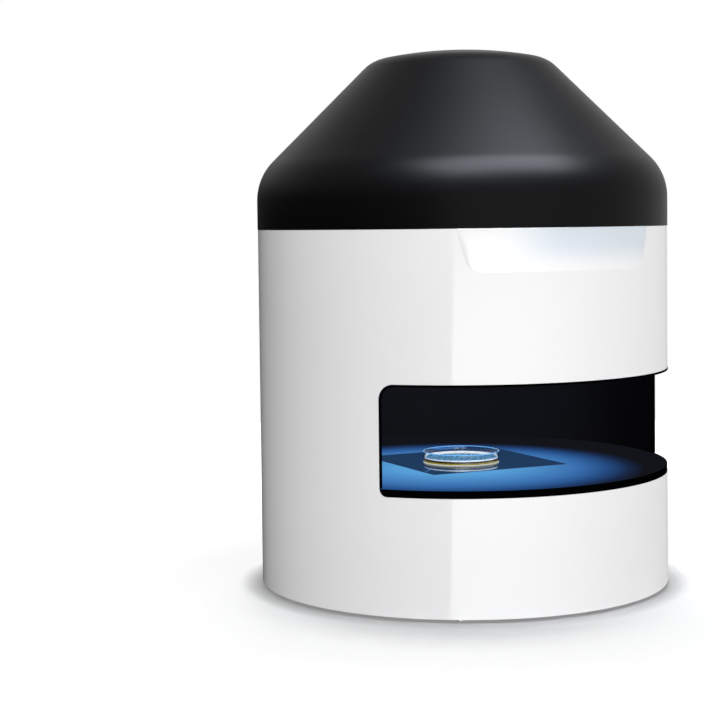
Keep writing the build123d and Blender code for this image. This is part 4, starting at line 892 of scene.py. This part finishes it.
# The agar's top is painted blue for the blue light that falls on it, and mottled.
blue_lit_gel_top = agar_finish.blend(mottle, (0.02, 0.17, 0.36, 1), (0.26, 0.60, 0.80, 1))
gel_top_with_highlight = agar_finish.blend(painted_white_highlight, blue_lit_gel_top, (0.95, 0.99, 1.0, 1))
depth_share = (agar_z - agar_low.z) / (agar_high.z - agar_low.z)
gel_side = agar_finish.tones(depth_share, [
    (0.0, (0.40, 0.31, 0.02, 1)),
    (0.28, (0.20, 0.12, 0.01, 1)),
    (0.40, (0.05, 0.018, 0.004, 1)),
    (0.95, (0.02, 0.012, 0.01, 1)),
])
gel_skin = 0.0002
side = agar_z.under(agar_high.z - gel_skin)
gel_colour = agar_finish.blend(side, gel_top_with_highlight, gel_side)
# The whole agar is painted with a glow of its own colour, its painted highlight and painted blue light
# included.
agar_finish.set({
    "Base Color": gel_colour,
    "Roughness": 0.12 + 0.15 * mottle,
    "Emission Color": agar_finish.blend(0.45, (0, 0, 0, 1), gel_colour),
})
agar_finish.relief(mottle, 0.00015, 0.5)
finished(agar, agar_finish, "agar", "dish", "agar_gel")
colony_count = 90
bare_rim = 0.006
smallest_colony = 0.0004
colony_growth = 0.00055
golden_turn = math.radians(137.50776)
colonies = []
for number in range(colony_count):
    spread = (agar_radius - bare_rim) * math.sqrt((number + 0.5) / colony_count)
    size = smallest_colony + colony_growth * ((number * 7) % 11) / 10
    turn = number * golden_turn
    spot = (dish_centre[0] + spread * math.cos(turn), dish_centre[1] + spread * math.sin(turn), agar_high.z)
    bpy.ops.mesh.primitive_ico_sphere_add(subdivisions=2, radius=size, location=spot, scale=(1, 1, 0.5))
    bpy.ops.object.transform_apply(location=True, rotation=True, scale=True)
    bpy.ops.object.shade_smooth()
    colonies.append(bpy.context.object)
colony_domes = joined("colony_domes", colonies)
colony_finish = Finish("colony_cream", {"Specular IOR Level": 0.6})
colony_cloud = colony_finish.grain(900.0)
colony_finish.set({
    "Base Color": colony_finish.blend(colony_cloud, (0.62, 0.66, 0.60, 1), (0.85, 0.86, 0.80, 1)),
    "Roughness": 0.18 + 0.1 * colony_cloud,
})
finished(colony_domes, colony_finish, "agar", "dish")

# --- Bench and studio -----------------------------------------------------------------------------
# A plain white bench top, which isn't part of the machine, in a soft white studio: a broad lamp near
# the camera, one behind the drum, a soft box over the cap, and walls whose edge the drum's gloss
# shows as an upright line.
view_turn = math.radians(-28.70)  # the camera stands this far round from the machine's front


def from_camera(turn, reach, height):
    """A spot at a turn in degrees to the right of the camera's direction, seen from the drum."""
    angle = view_turn + math.radians(turn)
    return Vector((reach * math.sin(angle), -reach * math.cos(angle), height))


bench_radius = 1.6
contact_reach = 0.03
bpy.ops.object.select_all(action="DESELECT")
bpy.ops.mesh.primitive_circle_add(vertices=128, radius=bench_radius, fill_type="NGON")
bench = bpy.context.object
bench.name = "bench"
bench.visible_glossy = False
bench_finish = Finish("bench_white", {"Specular IOR Level": 0.0, "Roughness": 0.6})
bench_cloud = bench_finish.grain(6.0, 2.0)
bench_finish.set({
    "Base Color": bench_finish.blend(bench_cloud, (0.54, 0.54, 0.54, 1), (0.56, 0.56, 0.56, 1)),
})
bench_x, bench_y = bench_finish.axes()[:2]
bench_far = ((bench_x * bench_x + bench_y * bench_y) ** 0.5).eased(0.25, 0.9)
painted_shadow_spot = from_camera(0.0, 0.10, 0.0)  # a painted shadow of the drum is darkest round this spot, on the side near the camera
shade_x = bench_x - painted_shadow_spot.x
shade_y = bench_y - painted_shadow_spot.y
open_share = ((shade_x * shade_x + shade_y * shade_y) ** 0.5).eased(0.09, 0.265)
# The bench glows white to the camera, with a painted contact shadow close round the drum's foot and a painted
# shadow in front of the drum. To bounced light it glows evenly.
occlusion = {"Distance": contact_reach}
openness = bench_finish.node("ShaderNodeAmbientOcclusion", {"samples": 8}, occlusion, output=1)
contact = openness**3.0
bench_rays = bench_finish.tree.nodes.new("ShaderNodeLightPath").outputs
seen = Wire(bench_finish, bench_rays["Is Camera Ray"])
bounced = Wire(bench_finish, bench_rays["Is Diffuse Ray"])
bench_glow_and_painted_shadow = seen * (contact * (0.02 + 0.57 * open_share) + 0.6 * bench_far) + bounced * 0.26
bench_finish.set({"Emission Color": bench_glow_and_painted_shadow, "Emission Strength": 1.0})
bench.data.materials.append(bench_finish.material)


class Studio(Finish):
    """The world round the bench, written as the finishes are."""

    def __init__(self, name):
        self.world = bpy.data.worlds.new(name)
        self.world.use_nodes = True
        self.tree = self.world.node_tree
        self.shader = self.tree.nodes["Background"]
        self.place = self.node("ShaderNodeTexCoord", output="Generated")


studio = Studio("studio")
bpy.context.scene.world = studio.world
turned_view = studio.node("ShaderNodeMapping", {}, {"Vector": studio.place, "Rotation": (0, 0, -view_turn)})
split = studio.node("ShaderNodeSeparateXYZ", {}, {"Vector": turned_view})
sideways, away, upwards = [Wire(studio, split.socket.node.outputs[i]) for i in range(3)]
bearing = sideways.sum_of("ARCTAN2", sideways, -1 * away)
lean = 0.016  # the line that the gloss shows leans a little against the drum
around = bearing / math.tau + (0.5 - lean * upwards)


def round_about(walls):
    """The tone of the studio's walls at each bearing in degrees from the camera."""
    return studio.tones(around, [(degrees / 360 + 0.5, (tone, tone, tone, 1)) for degrees, tone in walls])


gloss_walls = round_about([
    (-180, 0.03),
    (-120, 0.01),
    (-70, 0.03),
    (-30, 0.08),
    (-5.7, 0.10),
    (-5.4, 1.0),
    (40, 0.90),
    (80, 0.55),
    (120, 0.36),
    (160, 0.22),
    (180, 0.18),
])
light_walls = round_about([
    (-180, 0.10),
    (-120, 0.0),
    (-90, 0.0),
    (-60, 0.55),
    (0, 0.80),
    (70, 1.1),
    (120, 1.15),
    (180, 0.42),
])
brightest_wall = 3.2
ceiling = 1.12
lift = upwards.eased(0.0, 0.4)
mirrored = gloss_walls * brightest_wall * (1 - lift) + ceiling * lift
ambient = light_walls * (1 - lift) + 0.42 * lift
rays = studio.tree.nodes.new("ShaderNodeLightPath").outputs
glossy = Wire(studio, rays["Is Glossy Ray"])
plain = Wire(studio, rays["Is Camera Ray"]).highest(Wire(studio, rays["Is Transmission Ray"]))
behind = glossy * mirrored + (1 - glossy) * ambient
studio.set({"Color": (1, 1, 1, 1), "Strength": plain + (1 - plain) * behind})


def lamp(name, spot, aim, width, height, power):
    """A rectangular lamp at a spot, turned to shine on an aim."""
    light = bpy.data.lights.new(name, "AREA")
    light.shape = "RECTANGLE"
    light.size = width
    light.size_y = height
    light.energy = power
    made = bpy.data.objects.new(name, light)
    bpy.context.scene.collection.objects.link(made)
    made.location = spot
    made.rotation_euler = (Vector(aim) - spot).to_track_quat("-Z", "Y").to_euler()
    made.visible_camera = False
    return made


front_lamp = lamp("front_lamp", from_camera(5.0, 3.0, 0.3), (0, 0, 0.2), 2.2, 0.8, 35.0)
front_lamp.visible_glossy = False
back_lamp = lamp("back_lamp", from_camera(180.0, 2.2, 2.2), (0, 0, 0.0), 1.2, 1.2, 26.0)
back_lamp.visible_glossy = False
cap_lamp = lamp("cap_lamp", from_camera(31.0, 0.87, 1.93), (0, 0, 0.5), 2.0, 1.0, 385.0)
cap_lamp.visible_diffuse = False
cap_lamp.data.color = (0.84, 0.90, 1.0)

# --- Camera ---------------------------------------------------------------------------------------
# It stands about 2 m from the drum at the height of its cap, with a lens of 88 mm, and is turned,
# tilted and rolled a little.
eye = from_camera(0.0, 1.99815, 0.41022)
yaw = math.radians(3.317)
pitch = math.radians(2.756)
roll = math.radians(0.670)
camera_data = bpy.data.cameras.new("camera")
camera_data.sensor_width = 36.0
camera_data.lens = 87.896
camera_data.shift_y = -0.0774
camera_data.clip_start = 0.05
camera_data.clip_end = 50.0
camera = bpy.data.objects.new("camera", camera_data)
bpy.context.scene.collection.objects.link(camera)
heading = Matrix.Rotation(view_turn + yaw, 4, "Z")
tilt = Matrix.Rotation(math.pi / 2 - pitch, 4, "X")
camera.matrix_world = Matrix.Translation(eye) @ heading @ tilt @ Matrix.Rotation(-roll, 4, "Z")
bpy.context.scene.camera = camera
bpy.context.scene.view_settings.view_transform = "Standard"
